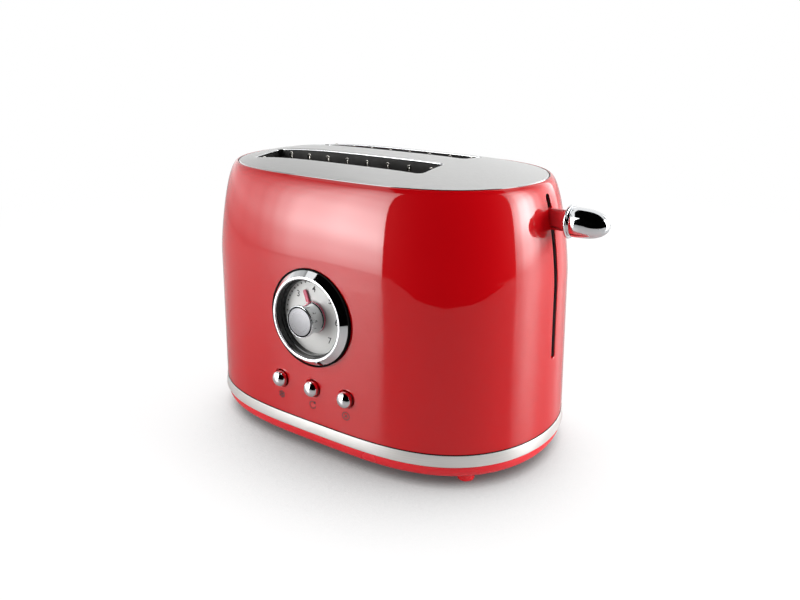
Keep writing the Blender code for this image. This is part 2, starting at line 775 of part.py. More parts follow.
def make_end_plates():
    """Steel end plates that carry the guards, heater boards, reflectors and frame."""
    foot = FLOOR_TOP + GAP
    outside = rectangle(-END_HALF_DEPTH, foot, END_HALF_DEPTH, FRAME_BOTTOM - GAP)
    outlines = [outside]
    lifter_half = LIFTER_SPINE / 2 + LIFTER_SLACK
    lifter_low = LIFTER_TOP - LIFTER_SHEET - LEVER_TRAVEL - LIFTER_SLACK
    low_offset = SLEEVE_INNER - GUARD_CLOSING - GUARD_SLACK
    high_offset = GUARD_OUTER_FACE + GUARD_SLACK
    for side in (-1, 1):
        y = side * SLOT_Y
        outlines.append(
            rectangle(y - lifter_half, lifter_low, y + lifter_half, LIFTER_TOP + LIFTER_SLACK)
        )
        for face in (-1, 1):
            ends = sorted((y + face * low_offset, y + face * high_offset))
            for rail in (GUARD_FOOT, GUARD_RAIL):
                low = rail - GUARD_SLACK
                high = rail + GUARD_WIRE + GUARD_SLACK
                outlines.append(rectangle(ends[0], low, ends[1], high))
    for name, x in (
        ("end_plate_left", LEFT_END + END_PLATE / 2),
        ("end_plate_right", RIGHT_END - END_PLATE / 2),
    ):
        plate = sheet(name, outlines, END_PLATE)
        place(plate, ALUMINISED_STEEL, ROOT, (x, 0, 0), (math.pi / 2, 0, math.pi / 2))


def make_heaters():
    """Three mica heater boards, outside and between the slots, and two reflectors."""
    left = LEFT_END + END_PLATE + GAP
    right = RIGHT_END - END_PLATE - GAP
    top = SLEEVE_BOTTOM - HEATER_TOP_DROP
    for name, face in (
        ("heater_board_front", -HEATER_FACE - HEATER_BOARD),
        ("heater_board_middle", -HEATER_BOARD / 2),
        ("heater_board_rear", HEATER_FACE),
    ):
        board = block(name, (left, face, HEATER_FOOT), (right, face + HEATER_BOARD, top))
        place(board, MICA, ROOT)
    for name, face in (
        ("reflector_front", -REFLECTOR_FACE - REFLECTOR_SHEET),
        ("reflector_rear", REFLECTOR_FACE),
    ):
        low = (left, face, REFLECTOR_FOOT)
        high = (right, face + REFLECTOR_SHEET, FRAME_BOTTOM - GAP)
        place(block(name, low, high), ALUMINISED_STEEL, ROOT)


def make_lifters():
    """Toothed lifters that carry the bread, guided by the slots in both end plates."""
    spine = LIFTER_SPINE / 2
    tooth = LIFTER_TOOTH_WIDTH / 2
    places = guard_bar_places()
    teeth = [(first + second) / 2 for first, second in zip(places, places[1:])]
    left = LEFT_END - LIFTER_TAIL
    right = CARRIAGE_X - GAP
    outline = [(left, -spine)]
    for x in teeth:
        outline += [(x - tooth, -spine), (x - tooth, -LIFTER_TOOTH_REACH)]
        outline += [(x + tooth, -LIFTER_TOOTH_REACH), (x + tooth, -spine)]
    outline += [(right, -spine), (right, spine)]
    for x in reversed(teeth):
        outline += [(x + tooth, spine), (x + tooth, LIFTER_TOOTH_REACH)]
        outline += [(x - tooth, LIFTER_TOOTH_REACH), (x - tooth, spine)]
    outline += [(left, spine)]
    for name, side in (("lifter_front", -1), ("lifter_rear", 1)):
        lifter = sheet(name, [outline], LIFTER_SHEET)
        place(lifter, WIRE_STEEL, LEVER, (0, side * SLOT_Y, LIFTER_TOP - LIFTER_SHEET / 2))


def make_carriage():
    """Steel carriage: cross-bar to both lifters, riser to the arm, boss on the rod, spring ear."""
    reach = SLOT_Y + CARRIAGE_BAR_OVERHANG
    top = CARRIAGE_BOTTOM + CARRIAGE_BAR_HEIGHT
    bar = block(
        "carriage", (CARRIAGE_X, -reach, CARRIAGE_BOTTOM), (CARRIAGE_FACE, reach, top)
    )
    place(bar, ALUMINISED_STEEL, LEVER)
    riser_top = LEVER_HEIGHT + ARM_HEIGHT / 2 + CARRIAGE_RISER_OVER_ARM
    half = CARRIAGE_RISER_WIDTH / 2
    root = CARRIAGE_X + CARRIAGE_PLATE / 2
    tip = CARRIAGE_FACE + BOSS_LENGTH
    riser = block(
        "riser",
        (CARRIAGE_X, -half, CARRIAGE_BOTTOM + CARRIAGE_BAR_HEIGHT / 2),
        (CARRIAGE_FACE, half, riser_top),
    )
    boss = block(
        "boss",
        (root, ROD_OFFSET - BOSS_WIDTH / 2, CARRIAGE_BOTTOM),
        (tip, ROD_OFFSET + BOSS_WIDTH / 2, CARRIAGE_BOTTOM + BOSS_HEIGHT),
    )
    ear = block(
        "ear",
        (root, -ROD_OFFSET - BOSS_WIDTH / 2, CARRIAGE_BOTTOM),
        (tip, -ROD_OFFSET + BOSS_WIDTH / 2, CARRIAGE_BOTTOM + EAR_THICKNESS),
    )
    join(bar, *(helper(piece, LEVER) for piece in (riser, boss, ear)))
    bore = rod(
        "bore", ROD_RADIUS + GAP, CARRIAGE_BOTTOM - OVERRUN, CARRIAGE_BOTTOM + BOSS_HEIGHT + OVERRUN
    )
    cut(bar, helper(bore, LEVER, (ROD_X, ROD_OFFSET, 0)))


def make_lever():
    """Red arm through the end wall and its bright bullet knob."""
    arm = block(
        "lever_arm",
        (CARRIAGE_FACE + GAP, -ARM_THICKNESS / 2, LEVER_HEIGHT - ARM_HEIGHT / 2),
        (KNOB_BACK - GAP, ARM_THICKNESS / 2, LEVER_HEIGHT + ARM_HEIGHT / 2),
    )
    soften(arm, ARM_BEVEL)
    place(arm, RED_PLASTIC, LEVER)
    profile = []
    for step in range(KNOB_RINGS):
        angle = math.pi / 2 * step / KNOB_RINGS
        height = KNOB_LENGTH * math.cos(angle) ** (2 / KNOB_TAPER_POWER)
        profile.append((KNOB_RADIUS * math.sin(angle), height))
    profile.append((KNOB_RADIUS, 0))
    profile.append((KNOB_NECK_RADIUS, 0))
    profile.append((KNOB_NECK_RADIUS, -KNOB_NECK_LENGTH))
    profile.append((KNOB_FLANGE_RADIUS - KNOB_FLANGE_ROUND, -KNOB_NECK_LENGTH))
    profile.append((KNOB_FLANGE_RADIUS, -KNOB_NECK_LENGTH - KNOB_FLANGE_ROUND))
    back = -KNOB_NECK_LENGTH - KNOB_FLANGE_THICKNESS
    profile.append((KNOB_FLANGE_RADIUS, back + KNOB_FLANGE_ROUND))
    profile.append((KNOB_FLANGE_RADIUS - KNOB_FLANGE_ROUND, back))
    profile.append((0, back))
    knob = turned("lever_knob", profile, SMALL_TURNED_STEPS)
    x = KNOB_BACK + KNOB_FLANGE_THICKNESS + KNOB_NECK_LENGTH
    place(knob, CHROME, LEVER, (x, 0, LEVER_HEIGHT), (0, math.pi / 2, 0))


def make_latch():
    """Guide rod, armature on the carriage, the magnet that holds it, and the return spring."""
    guide = rod("guide_rod", ROD_RADIUS, FLOOR_TOP + GAP, FRAME_BOTTOM - GAP)
    place(guide, WIRE_STEEL, ROOT, (ROD_X, ROD_OFFSET, 0))
    half = MAGNET_WIDTH / 2
    near = CARRIAGE_FACE + GAP
    armature = block(
        "armature",
        (near, -half, ARMATURE_Z),
        (near + ARMATURE_LENGTH, half, ARMATURE_Z + ARMATURE_THICKNESS),
    )
    place(armature, WIRE_STEEL, LEVER)
    magnet = block(
        "latch_magnet",
        (near, -half, FLOOR_TOP + GAP),
        (near + MAGNET_LENGTH, half, ARMATURE_Z - LEVER_TRAVEL - GAP),
    )
    place(magnet, DARK_PLASTIC, ROOT)
    low = CARRIAGE_BOTTOM + EAR_THICKNESS + GAP + SPRING_WIRE_RADIUS
    high = FRAME_BOTTOM - GAP - SPRING_WIRE_RADIUS
    curve = bpy.data.curves.new("return_spring", "CURVE")
    curve.dimensions = "3D"
    curve.bevel_depth = SPRING_WIRE_RADIUS
    curve.bevel_resolution = 1
    curve.use_fill_caps = True
    count = SPRING_CURLS * SPRING_POINTS_PER_CURL + 1
    spline = curve.splines.new("POLY")
    spline.points.add(count - 1)
    for number, knot in enumerate(spline.points):
        angle = 2 * math.pi * number / SPRING_POINTS_PER_CURL
        height = low + (high - low) * number / (count - 1)
        x = SPRING_RADIUS * math.cos(angle)
        y = SPRING_RADIUS * math.sin(angle)
        knot.co = (x, y, height, 1)
    spring = bpy.data.objects.new("return_spring", curve)
    place(spring, WIRE_STEEL, LEVER, (ROD_X, -ROD_OFFSET, 0))


def make_dial():
    """Chrome bezel, silver face, red pointer disc, turned knob, shaft and timer."""
    lip_outer = BEZEL_RADIUS - BEZEL_CONE_WIDTH
    lip_inner = lip_outer - BEZEL_LIP_WIDTH
    seat = lip_inner - BEZEL_SEAT
    face_back = -FACE_DEPTH - FACE_THICKNESS - GAP
    profile = [
        (lip_inner + BEZEL_ROUND / 2, BEZEL_LIP_HEIGHT),
        (lip_outer - BEZEL_ROUND / 2, BEZEL_LIP_HEIGHT),
        (lip_outer + BEZEL_ROUND, BEZEL_LIP_HEIGHT - BEZEL_ROUND),
        (BEZEL_RADIUS - BEZEL_ROUND, BEZEL_EDGE + BEZEL_ROUND / 2),
        (BEZEL_RADIUS, BEZEL_EDGE - BEZEL_ROUND / 2),
        (BEZEL_RADIUS, -BEZEL_INSERT),
        (seat, -BEZEL_INSERT),
        (seat, face_back),
        (lip_inner, face_back),
        (lip_inner, BEZEL_LIP_HEIGHT - BEZEL_ROUND),
    ]
    bezel = turned("dial_bezel", profile, TURNED_STEPS, ring_shaped=True)
    place(bezel, CHROME, PANEL)
    face_radius = lip_inner - GAP
    profile = [
        (face_radius, -FACE_DEPTH),
        (face_radius, -FACE_DEPTH - FACE_THICKNESS),
        (FACE_BORE, -FACE_DEPTH - FACE_THICKNESS),
        (FACE_BORE, -FACE_DEPTH),
    ]
    place(turned("dial_face", profile, TURNED_STEPS, ring_shaped=True), SILVER_PRINT, PANEL)
    make_pointer()
    grip = DIAL_KNOB_BACK + SHAFT_GRIP
    ring_back = DIAL_KNOB_FRONT - DIAL_KNOB_RING
    bore = SHAFT_RADIUS + GAP
    profile = [
        (0, DIAL_KNOB_FRONT - DIAL_KNOB_DISH),
        (DIAL_KNOB_RADIUS - 2 * DIAL_KNOB_ROUND, DIAL_KNOB_FRONT - DIAL_KNOB_DISH),
        (DIAL_KNOB_RADIUS - DIAL_KNOB_ROUND, DIAL_KNOB_FRONT),
        (DIAL_KNOB_RADIUS, DIAL_KNOB_FRONT - DIAL_KNOB_ROUND),
        (DIAL_KNOB_RADIUS, ring_back),
        (DIAL_KNOB_WAIST, ring_back - DIAL_KNOB_ROUND),
        (DIAL_KNOB_WAIST, DIAL_KNOB_BACK + DIAL_KNOB_ROUND),
        (DIAL_KNOB_RADIUS, DIAL_KNOB_BACK),
        (bore, DIAL_KNOB_BACK),
        (bore, grip + GAP),
        (0, grip + GAP),
    ]
    place(turned("control_knob", profile, TURNED_STEPS), CHROME, DIAL)
    shaft = rod("dial_shaft", SHAFT_RADIUS, -TIMER_FRONT + GAP, grip)
    place(shaft, WIRE_STEEL, DIAL)
    half = TIMER_SIDE / 2
    timer = block(
        "timer_unit", (-half, -half, -TIMER_FRONT - TIMER_DEPTH), (half, half, -TIMER_FRONT)
    )
    place(timer, DARK_PLASTIC, PANEL)


def make_pointer():
    """Red disc behind the knob with one arm, which points between two marks at rest."""
    half = POINTER_WIDTH / 2
    edge = math.asin(half / POINTER_RIM)
    outline = [(half, POINTER_REACH), (-half, POINTER_REACH)]
    for step in range(SMALL_TURNED_STEPS + 1):
        sweep = (2 * math.pi - 2 * edge) * step / SMALL_TURNED_STEPS
        angle = math.pi / 2 + edge + sweep
        outline.append((POINTER_RIM * math.cos(angle), POINTER_RIM * math.sin(angle)))
    bore = SHAFT_RADIUS + GAP
    hole = []
    for step in range(SMALL_TURNED_STEPS):
        angle = 2 * math.pi * step / SMALL_TURNED_STEPS
        hole.append((bore * math.cos(angle), bore * math.sin(angle)))
    pointer = sheet("dial_pointer", [outline, hole], POINTER_THICKNESS)
    place(pointer, RED_POINTER, DIAL, (0, 0, POINTER_TOP - POINTER_THICKNESS / 2), (0, 0, POINTER_ANGLE))


def button_x(number):
    return (number - (len(BUTTON_NAMES) - 1) / 2) * BUTTON_PITCH


def make_buttons():
    """Domed chrome buttons on plungers, the guide they slide in, and their switches."""
    wall = panel_depth(BUTTON_HEIGHT)
    y = BUTTON_HEIGHT - DIAL_HEIGHT
    back = wall - BUTTON_SKIRT
    plunger_end = back - GAP - PLUNGER_LENGTH
    profile = []
    for step in range(DOME_RINGS + 1):
        angle = math.pi / 2 * step / DOME_RINGS
        height = wall + BUTTON_PROUD + BUTTON_DOME * math.cos(angle)
        profile.append((BUTTON_RADIUS * math.sin(angle), height))
    profile += [(BUTTON_RADIUS, back), (0, back)]
    for number, name in enumerate(BUTTON_NAMES):
        x = button_x(number)
        slide = empty("slide_" + name, (x, y, 0), parent=PANEL)
        place(turned("button_" + name, profile, SMALL_TURNED_STEPS), CHROME, slide)
        plunger = rod("plunger_" + name, PLUNGER_RADIUS, plunger_end, back - GAP)
        place(plunger, DARK_PLASTIC, slide)
        half = SWITCH_SIDE / 2
        switch_top = plunger_end - BUTTON_TRAVEL - SWITCH_SLACK
        switch = block(
            "switch_" + name, (x - half, y - half, -BOARD_FACE + GAP), (x + half, y + half, switch_top)
        )
        place(switch, DARK_PLASTIC, PANEL)
    front = wall - SHELL_WALL - GUIDE_CLEARANCE
    rear = front - GUIDE_LENGTH
    half_width = BUTTON_PITCH + GUIDE_MARGIN
    guide = block(
        "button_guide",
        (-half_width, y - GUIDE_HALF_HEIGHT, rear),
        (half_width, y + GUIDE_HALF_HEIGHT, rear + GUIDE_PLATE),
    )
    place(guide, RED_PLASTIC, PANEL)
    for number, name in enumerate(BUTTON_NAMES):
        tube = rod("tube_" + name, SLEEVE_OUTER, rear + GUIDE_PLATE / 2, front)
        boolean(guide, helper(tube, PANEL, (button_x(number), y, 0)), "UNION", "Tube " + name)
    for number, name in enumerate(BUTTON_NAMES):
        bore = rod("guide_bore_" + name, SLEEVE_BORE, rear - OVERRUN, front + OVERRUN)
        cutter = helper(bore, PANEL, (button_x(number), y, 0))
        boolean(guide, cutter, "DIFFERENCE", "Bore " + name)


def make_board():
    """Circuit board that stands on the base behind the dial and buttons."""
    back = BOARD_FACE + BOARD_THICKNESS
    foot = FLOOR_TOP + GAP - DIAL_HEIGHT + back * math.sin(PANEL_TILT)
    board = block(
        "control_board",
        (-BOARD_HALF_WIDTH, foot / math.cos(PANEL_TILT), -back),
        (BOARD_HALF_WIDTH, BOARD_TOP, -BOARD_FACE),
    )
    place(board, CIRCUIT_GREEN, PANEL)


def skirt_rings(inset):
    """Rings up the curved skirt of the base, drawn in by an inset."""
    rings = []
    for tuck_share, height_share in SKIRT_CURVE_SHARES:
        height = BASE_BOTTOM + SKIRT_HEIGHT * height_share
        rings.append(ring(SKIRT_TUCK * tuck_share + inset, height))
    return rings


def make_base():
    """Red base: floor, curved skirt, and the upstand that locates the band and the body."""
    outer = skirt_rings(0)
    upstand = SHELL_WALL + GAP
    top = SHELL_BOTTOM + UPSTAND_OVERLAP
    inner_step = BAND_BOTTOM + GAP
    sections = list(outer)
    sections.append(ring(upstand, BAND_BOTTOM))
    sections.append(ring(upstand, top))
    sections.append(ring(upstand + UPSTAND_WALL, top))
    sections.append(ring(upstand + UPSTAND_WALL, inner_step))
    for tuck_share, height_share in reversed(SKIRT_CURVE_SHARES[1:-1]):
        height = BASE_BOTTOM + SKIRT_HEIGHT * height_share
        sections.append(ring(SKIRT_TUCK * tuck_share + SKIRT_WALL, height))
    sections.append(ring(SKIRT_TUCK + SKIRT_WALL, FLOOR_TOP))
    base = loft("base_pan", sections, cap_first=True, cap_last=True)
    place(base, RED_PLASTIC, ROOT)
    opening = block(
        "tray_opening",
        (SLOT_MIDDLE - TRAY_HALF_WIDTH - GAP, 0, FLOOR_TOP - TRAY_SILL),
        (SLOT_MIDDLE + TRAY_HALF_WIDTH + GAP, BODY_HALF_DEPTH, TRAY_TOP + GAP),
    )
    gland_hole = rod("gland_hole", GLAND_NECK + GAP, BASE_BOTTOM - OVERRUN, FLOOR_TOP + OVERRUN)
    cut(base, helper(opening, ROOT), helper(gland_hole, ROOT, (GLAND_X, GLAND_Y, 0)))


def make_band():
    """Bright band between base and body."""
    low = BAND_BOTTOM + GAP
    high = SHELL_BOTTOM - GAP
    sections = [
        ring(-BAND_FLARE + BAND_BEVEL, low),
        ring(-BAND_FLARE, low + BAND_BEVEL),
        ring(-BAND_LIP, high - BAND_BEVEL),
        ring(-BAND_LIP + BAND_BEVEL, high),
        ring(SHELL_WALL, high),
        ring(SHELL_WALL, low),
    ]
    place(loft("trim_band", sections, loop=True), POLISHED_BAND, ROOT)


def make_feet():
    """Four round feet under the corners of the base."""
    profile = [
        (0, FOOT_HEIGHT - GAP),
        (FOOT_RADIUS + FOOT_FLARE, FOOT_HEIGHT - GAP),
        (FOOT_RADIUS, FOOT_BEVEL),
        (FOOT_RADIUS - FOOT_BEVEL, 0),
        (0, 0),
    ]
    for end, sign_x in (("left", -1), ("right", 1)):
        for side, sign_y in (("front", -1), ("rear", 1)):
            foot = turned("foot_%s_%s" % (side, end), profile, SMALL_TURNED_STEPS)
            place(foot, RED_PLASTIC, ROOT, (sign_x * FOOT_X, sign_y * FOOT_Y, 0))


def tray_outline(inset):
    """Plan of the crumb tray: three straight sides, and a back that follows the skirt."""
    half = TRAY_HALF_WIDTH - inset
    wall = SKIRT_TUCK + SKIRT_WALL + GAP
    points = [(SLOT_MIDDLE - half, inset - TRAY_FRONT), (SLOT_MIDDLE + half, inset - TRAY_FRONT)]
    for step in range(TRAY_CORNER_STEPS + 1):
        x = SLOT_MIDDLE + half * (1 - 2 * step / TRAY_CORNER_STEPS)
        y = plan_depth(x, BODY_HALF_LENGTH - wall, BODY_HALF_DEPTH - wall)
        points.append((x, y - inset))
    return points


def make_tray():
    """Crumb tray under the slots, with a grip that closes the opening in the skirt."""
    tray = as_mesh(sheet("tray_blank", [tray_outline(0)], TRAY_HEIGHT))
    tray.name = "crumb_tray"
    place(tray, ALUMINISED_STEEL, TRAY, (0, 0, TRAY_BOTTOM + TRAY_HEIGHT / 2))
    hollow = as_mesh(sheet("tray_hollow", [tray_outline(TRAY_WALL)], TRAY_HEIGHT))
    cut(tray, helper(hollow, TRAY, (0, 0, TRAY_BOTTOM + TRAY_HEIGHT / 2 + TRAY_WALL)))
    sections = skirt_rings(0) + list(reversed(skirt_rings(SKIRT_WALL)))
    grip = loft("tray_grip", sections, loop=True)
    place(grip, RED_PLASTIC, TRAY)
    inside = block(
        "grip_limits",
        (SLOT_MIDDLE - TRAY_HALF_WIDTH, 0, FLOOR_TOP),
        (SLOT_MIDDLE + TRAY_HALF_WIDTH, BODY_HALF_DEPTH, TRAY_TOP),
    )
    boolean(grip, helper(inside, TRAY), "INTERSECT", "Opening")
    middle = (FLOOR_TOP + TRAY_TOP) / 2
    lip = block(
        "grip_lip",
        (SLOT_MIDDLE - GRIP_LENGTH / 2, GRIP_ROOT, middle - GRIP_THICKNESS / 2),
        (SLOT_MIDDLE + GRIP_LENGTH / 2, GRIP_REACH, middle + GRIP_THICKNESS / 2),
    )
    boolean(grip, helper(lip, TRAY), "UNION", "Lip")


def make_gland():
    """Cord gland pressed into the floor of the base."""
    top = FLOOR_TOP + GAP + GLAND_STAND
    under = BASE_BOTTOM - GAP
    profile = [
        (GLAND_NECK, top),
        (GLAND_NECK, FLOOR_TOP + GAP + GLAND_FLANGE_THICKNESS),
        (GLAND_FLANGE, FLOOR_TOP + GAP + GLAND_FLANGE_THICKNESS),
        (GLAND_FLANGE, FLOOR_TOP + GAP),
        (GLAND_NECK, FLOOR_TOP + GAP),
        (GLAND_NECK, under),
        (GLAND_FLANGE, under),
        (GLAND_FLANGE, under - GLAND_FLANGE_THICKNESS),
        (GLAND_BORE, under - GLAND_FLANGE_THICKNESS),
        (GLAND_BORE, top),
    ]
    gland = turned("cord_gland", profile, SMALL_TURNED_STEPS, ring_shaped=True)
    place(gland, DARK_PLASTIC, ROOT, (GLAND_X, GLAND_Y, 0))


clear_scene()
PIECES = new_collection("toaster")
CUTTERS = new_collection("cutters", hidden=True)
RED_PAINT = material("red_paint", (0.60, 0.004, 0.010), 0.0, 0.12)
RED_PLASTIC = material("red_plastic", (0.55, 0.008, 0.014), 0.0, 0.25)
RED_POINTER = material("red_pointer", (0.62, 0.03, 0.09), 0.0, 0.25)
BRUSHED_STEEL = material("brushed_steel", (0.56, 0.56, 0.57), 1.0, 0.34)
POLISHED_BAND = material("polished_band", (0.70, 0.70, 0.71), 1.0, 0.20)
CHROME = material("chrome", (0.78, 0.78, 0.80), 1.0, 0.05)
SILVER_PRINT = material("silver_print", (0.66, 0.66, 0.67), 0.3, 0.35)
DARK_STEEL = material("dark_steel", (0.07, 0.07, 0.07), 0.8, 0.45)
WIRE_STEEL = material("wire_steel", (0.50, 0.50, 0.50), 1.0, 0.28)
ALUMINISED_STEEL = material("aluminised_steel", (0.45, 0.46, 0.47), 1.0, 0.40)
MICA = material("mica", (0.46, 0.40, 0.30), 0.0, 0.55)
DARK_PLASTIC = material("dark_plastic", (0.02, 0.02, 0.022), 0.0, 0.45)
CIRCUIT_GREEN = material("circuit_green", (0.02, 0.16, 0.07), 0.0, 0.40)

# The object's box is centred over the origin, so the body's middle stands off it a little.
ROOT = empty("toaster_root", ((REACH_LEFT - REACH_RIGHT) / 2, (REACH_FRONT - REACH_BACK) / 2, 0))
LEVER = empty("lever_slide", (0, 0, 0), parent=ROOT)
TRAY = empty("tray_slide", (0, 0, 0), parent=ROOT)
PANEL = empty(
    "panel", (0, -WALL_AT_DIAL, DIAL_HEIGHT), (math.pi / 2 - PANEL_TILT, 0, 0), parent=ROOT
)
DIAL = empty("dial_axis", (0, 0, 0), parent=PANEL)

make_base()
make_band()
make_feet()
make_gland()
make_tray()
make_end_plates()
make_heaters()
make_guards()
make_lifters()
make_carriage()
make_latch()
make_slot_frame()
make_board()
make_dial()
make_buttons()
make_body_shell()
make_top_plate()
make_lever()
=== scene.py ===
"""Looks of a kitchen toaster: a red body on a bright band, with a dial, buttons and a side lever."""

import json
import math

import bmesh
import bpy
from mathutils import Matrix, Vector


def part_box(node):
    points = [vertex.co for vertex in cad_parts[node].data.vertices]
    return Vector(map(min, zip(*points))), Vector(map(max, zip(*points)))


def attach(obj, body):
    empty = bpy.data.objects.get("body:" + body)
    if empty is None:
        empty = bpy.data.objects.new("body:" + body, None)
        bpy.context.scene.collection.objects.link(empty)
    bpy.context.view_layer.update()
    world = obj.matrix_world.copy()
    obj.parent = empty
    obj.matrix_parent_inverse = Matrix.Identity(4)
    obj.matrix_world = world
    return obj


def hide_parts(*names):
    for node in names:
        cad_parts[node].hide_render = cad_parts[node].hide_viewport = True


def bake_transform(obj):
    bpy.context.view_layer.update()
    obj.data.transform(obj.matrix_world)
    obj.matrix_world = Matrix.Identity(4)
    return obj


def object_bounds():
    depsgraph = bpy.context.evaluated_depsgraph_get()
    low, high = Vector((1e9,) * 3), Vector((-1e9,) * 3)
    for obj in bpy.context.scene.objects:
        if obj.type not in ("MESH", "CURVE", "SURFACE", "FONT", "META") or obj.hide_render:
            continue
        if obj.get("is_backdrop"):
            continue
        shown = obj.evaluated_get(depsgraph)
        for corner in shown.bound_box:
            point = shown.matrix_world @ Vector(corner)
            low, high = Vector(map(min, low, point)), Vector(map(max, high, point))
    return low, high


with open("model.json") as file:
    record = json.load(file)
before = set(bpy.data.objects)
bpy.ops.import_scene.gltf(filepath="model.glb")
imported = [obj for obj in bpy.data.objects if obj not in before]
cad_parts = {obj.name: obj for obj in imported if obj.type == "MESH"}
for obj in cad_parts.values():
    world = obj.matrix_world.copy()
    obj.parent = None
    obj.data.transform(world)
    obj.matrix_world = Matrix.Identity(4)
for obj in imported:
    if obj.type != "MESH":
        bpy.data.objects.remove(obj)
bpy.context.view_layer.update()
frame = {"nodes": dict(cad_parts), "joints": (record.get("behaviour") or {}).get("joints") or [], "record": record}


# Camera, at the photograph's viewing angle. The body's middle is the band's middle.
CAMERA_AZIMUTH = math.radians(34.94)
CAMERA_ELEVATION = math.radians(19.45)
CAMERA_DISTANCE = 0.5557
CAMERA_SENSOR = 36
CAMERA_LENS = 33.9975
AIM_RIGHT = 0.0120
AIM_HEIGHT = 0.0894

band_low, band_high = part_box("trim_band")
MIDDLE = Vector(((band_low.x + band_high.x) / 2, (band_low.y + band_high.y) / 2, 0))


def make_camera():
    data = bpy.data.cameras.new("camera")
    data.sensor_width = CAMERA_SENSOR
    data.lens = CAMERA_LENS
    data.clip_start = 0.01
    camera = bpy.data.objects.new("camera", data)
    back = Vector((
        math.sin(CAMERA_AZIMUTH) * math.cos(CAMERA_ELEVATION),
        -math.cos(CAMERA_AZIMUTH) * math.cos(CAMERA_ELEVATION),
        math.sin(CAMERA_ELEVATION),
    ))
    camera.location = MIDDLE + Vector((AIM_RIGHT, 0, AIM_HEIGHT)) + back * CAMERA_DISTANCE
    camera.rotation_euler = (-back).to_track_quat("-Z", "Y").to_euler()
    bpy.context.scene.collection.objects.link(camera)
    bpy.context.scene.camera = camera


make_camera()


# Body shell. One pressing of 1.2 mm steel, sprayed with gloss red lacquer and stoved. Its edges
# are hemmed: the foot turns under above the band, the rim turns down to carry the top plate, and
# the holes for the buttons and the lever are drawn inward so that no raw edge shows.
FRONT_POWER = 3.44
END_POWER = 2.0
OUTLINE_POINTS = 240
BODY_LEAN = 0.0045
SHOULDER_HEIGHT = 0.0660
SHOULDER_DEPTH = 0.0136
SHOULDER_POWER = 1.25
SHOULDER_EASE = 0.10
SHOULDER_RINGS = 30
WALL_RINGS = 12
SHELL_WALL = 0.0012
HEM_RADIUS = 0.0008
RIM_ROUND = 0.0006
LIP_ROUND = 0.0007
LIP_DEPTH = 0.0016
FILLET_STEPS = 5

shell_low, shell_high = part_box("body_shell")
HALF_LENGTH = (shell_high.x - shell_low.x) / 2
HALF_DEPTH = (shell_high.y - shell_low.y) / 2
SHELL_BOTTOM = shell_low.z
RIM = shell_high.z
SHOULDER = RIM - SHOULDER_HEIGHT
RIM_INSET = BODY_LEAN + SHOULDER_DEPTH


def linear(code):
    """The linear colour of an sRGB hex value."""
    values = []
    for place in (1, 3, 5):
        share = int(code[place:place + 2], 16) / 255
        values.append(share / 12.92 if share <= 0.04045 else ((share + 0.055) / 1.055) ** 2.4)
    return (*values, 1)


def add(tree, kind, values=None, links=None):
    """Adds a node with its settings and its links, each from a node and the name of its output."""
    made = tree.nodes.new("ShaderNode" + kind)
    for name, value in (values or {}).items():
        if isinstance(name, int) or name in made.inputs:
            made.inputs[name].default_value = value
        else:
            setattr(made, name, value)
    for name, (source, output) in (links or {}).items():
        tree.links.new(source.outputs[output], made.inputs[name])
    return made


def start_finish(name, values):
    """A new material, its tree and its shader with these socket values."""
    made = bpy.data.materials.new(name)
    made.use_nodes = True
    tree = made.node_tree
    shader = tree.nodes["Principled BSDF"]
    for socket, value in values.items():
        shader.inputs[socket].default_value = value
    return made, tree, shader


def gloss_red_lacquer():
    """Stoved lacquer: deep clean red under a mirror-like skin with a trace of orange peel."""
    peel_size = 0.0022
    made, tree, shader = start_finish("gloss_red_lacquer", {
        "Base Color": linear("#CC020D"),
        "Roughness": 0.38,
        "Specular IOR Level": 0.05,
        "Coat Weight": 1.0,
        "Coat Roughness": 0.035,
        "Coat IOR": 1.52,
    })
    place = add(tree, "TexCoord")
    peel = add(tree, "TexNoise", {"Scale": 1 / peel_size, "Detail": 1.0}, {"Vector": (place, "Object")})
    bump = add(tree, "Bump", {"Strength": 0.05, "Distance": 0.00004}, {"Height": (peel, "Fac")})
    tree.links.new(bump.outputs["Normal"], shader.inputs["Coat Normal"])
    return made


def bare_zinc():
    """Galvanised inside face of the sheet: dull blue-grey, with a faint mottle."""
    made, tree, shader = start_finish("galvanised_sheet", {"Metallic": 0.9, "Roughness": 0.5})
    place = add(tree, "TexCoord")
    mottle = add(tree, "TexNoise", {"Scale": 120.0, "Detail": 3.0}, {"Vector": (place, "Object")})
    ramp = add(tree, "ValToRGB", None, {"Fac": (mottle, "Fac")})
    ramp.color_ramp.elements[0].color = linear("#6E7275")
    ramp.color_ramp.elements[1].color = linear("#8E9295")
    tree.links.new(ramp.outputs["Color"], shader.inputs["Base Color"])
    return made


def body_inset(height):
    """How far the body's wall stands inside its widest outline at this height."""
    lean = BODY_LEAN * (height - SHELL_BOTTOM) / (RIM - SHELL_BOTTOM)
    share = min(1, max(0, (height - SHOULDER) / SHOULDER_HEIGHT))
    start = SHOULDER_EASE**SHOULDER_POWER
    eased = math.hypot(share, SHOULDER_EASE) ** SHOULDER_POWER - start
    whole = math.hypot(1, SHOULDER_EASE) ** SHOULDER_POWER - start
    return lean + SHOULDER_DEPTH * (1 - math.sqrt(max(0, 1 - eased / whole)))


def signed_power(value, power):
    return math.copysign(abs(value) ** power, value)


def oval(half_length, half_depth, angle):
    """Point of the body's flat-fronted oval, about its middle."""
    x = half_length * signed_power(math.cos(angle), 2 / FRONT_POWER)
    y = half_depth * signed_power(math.sin(angle), 2 / END_POWER)
    return Vector((x, y, 0))


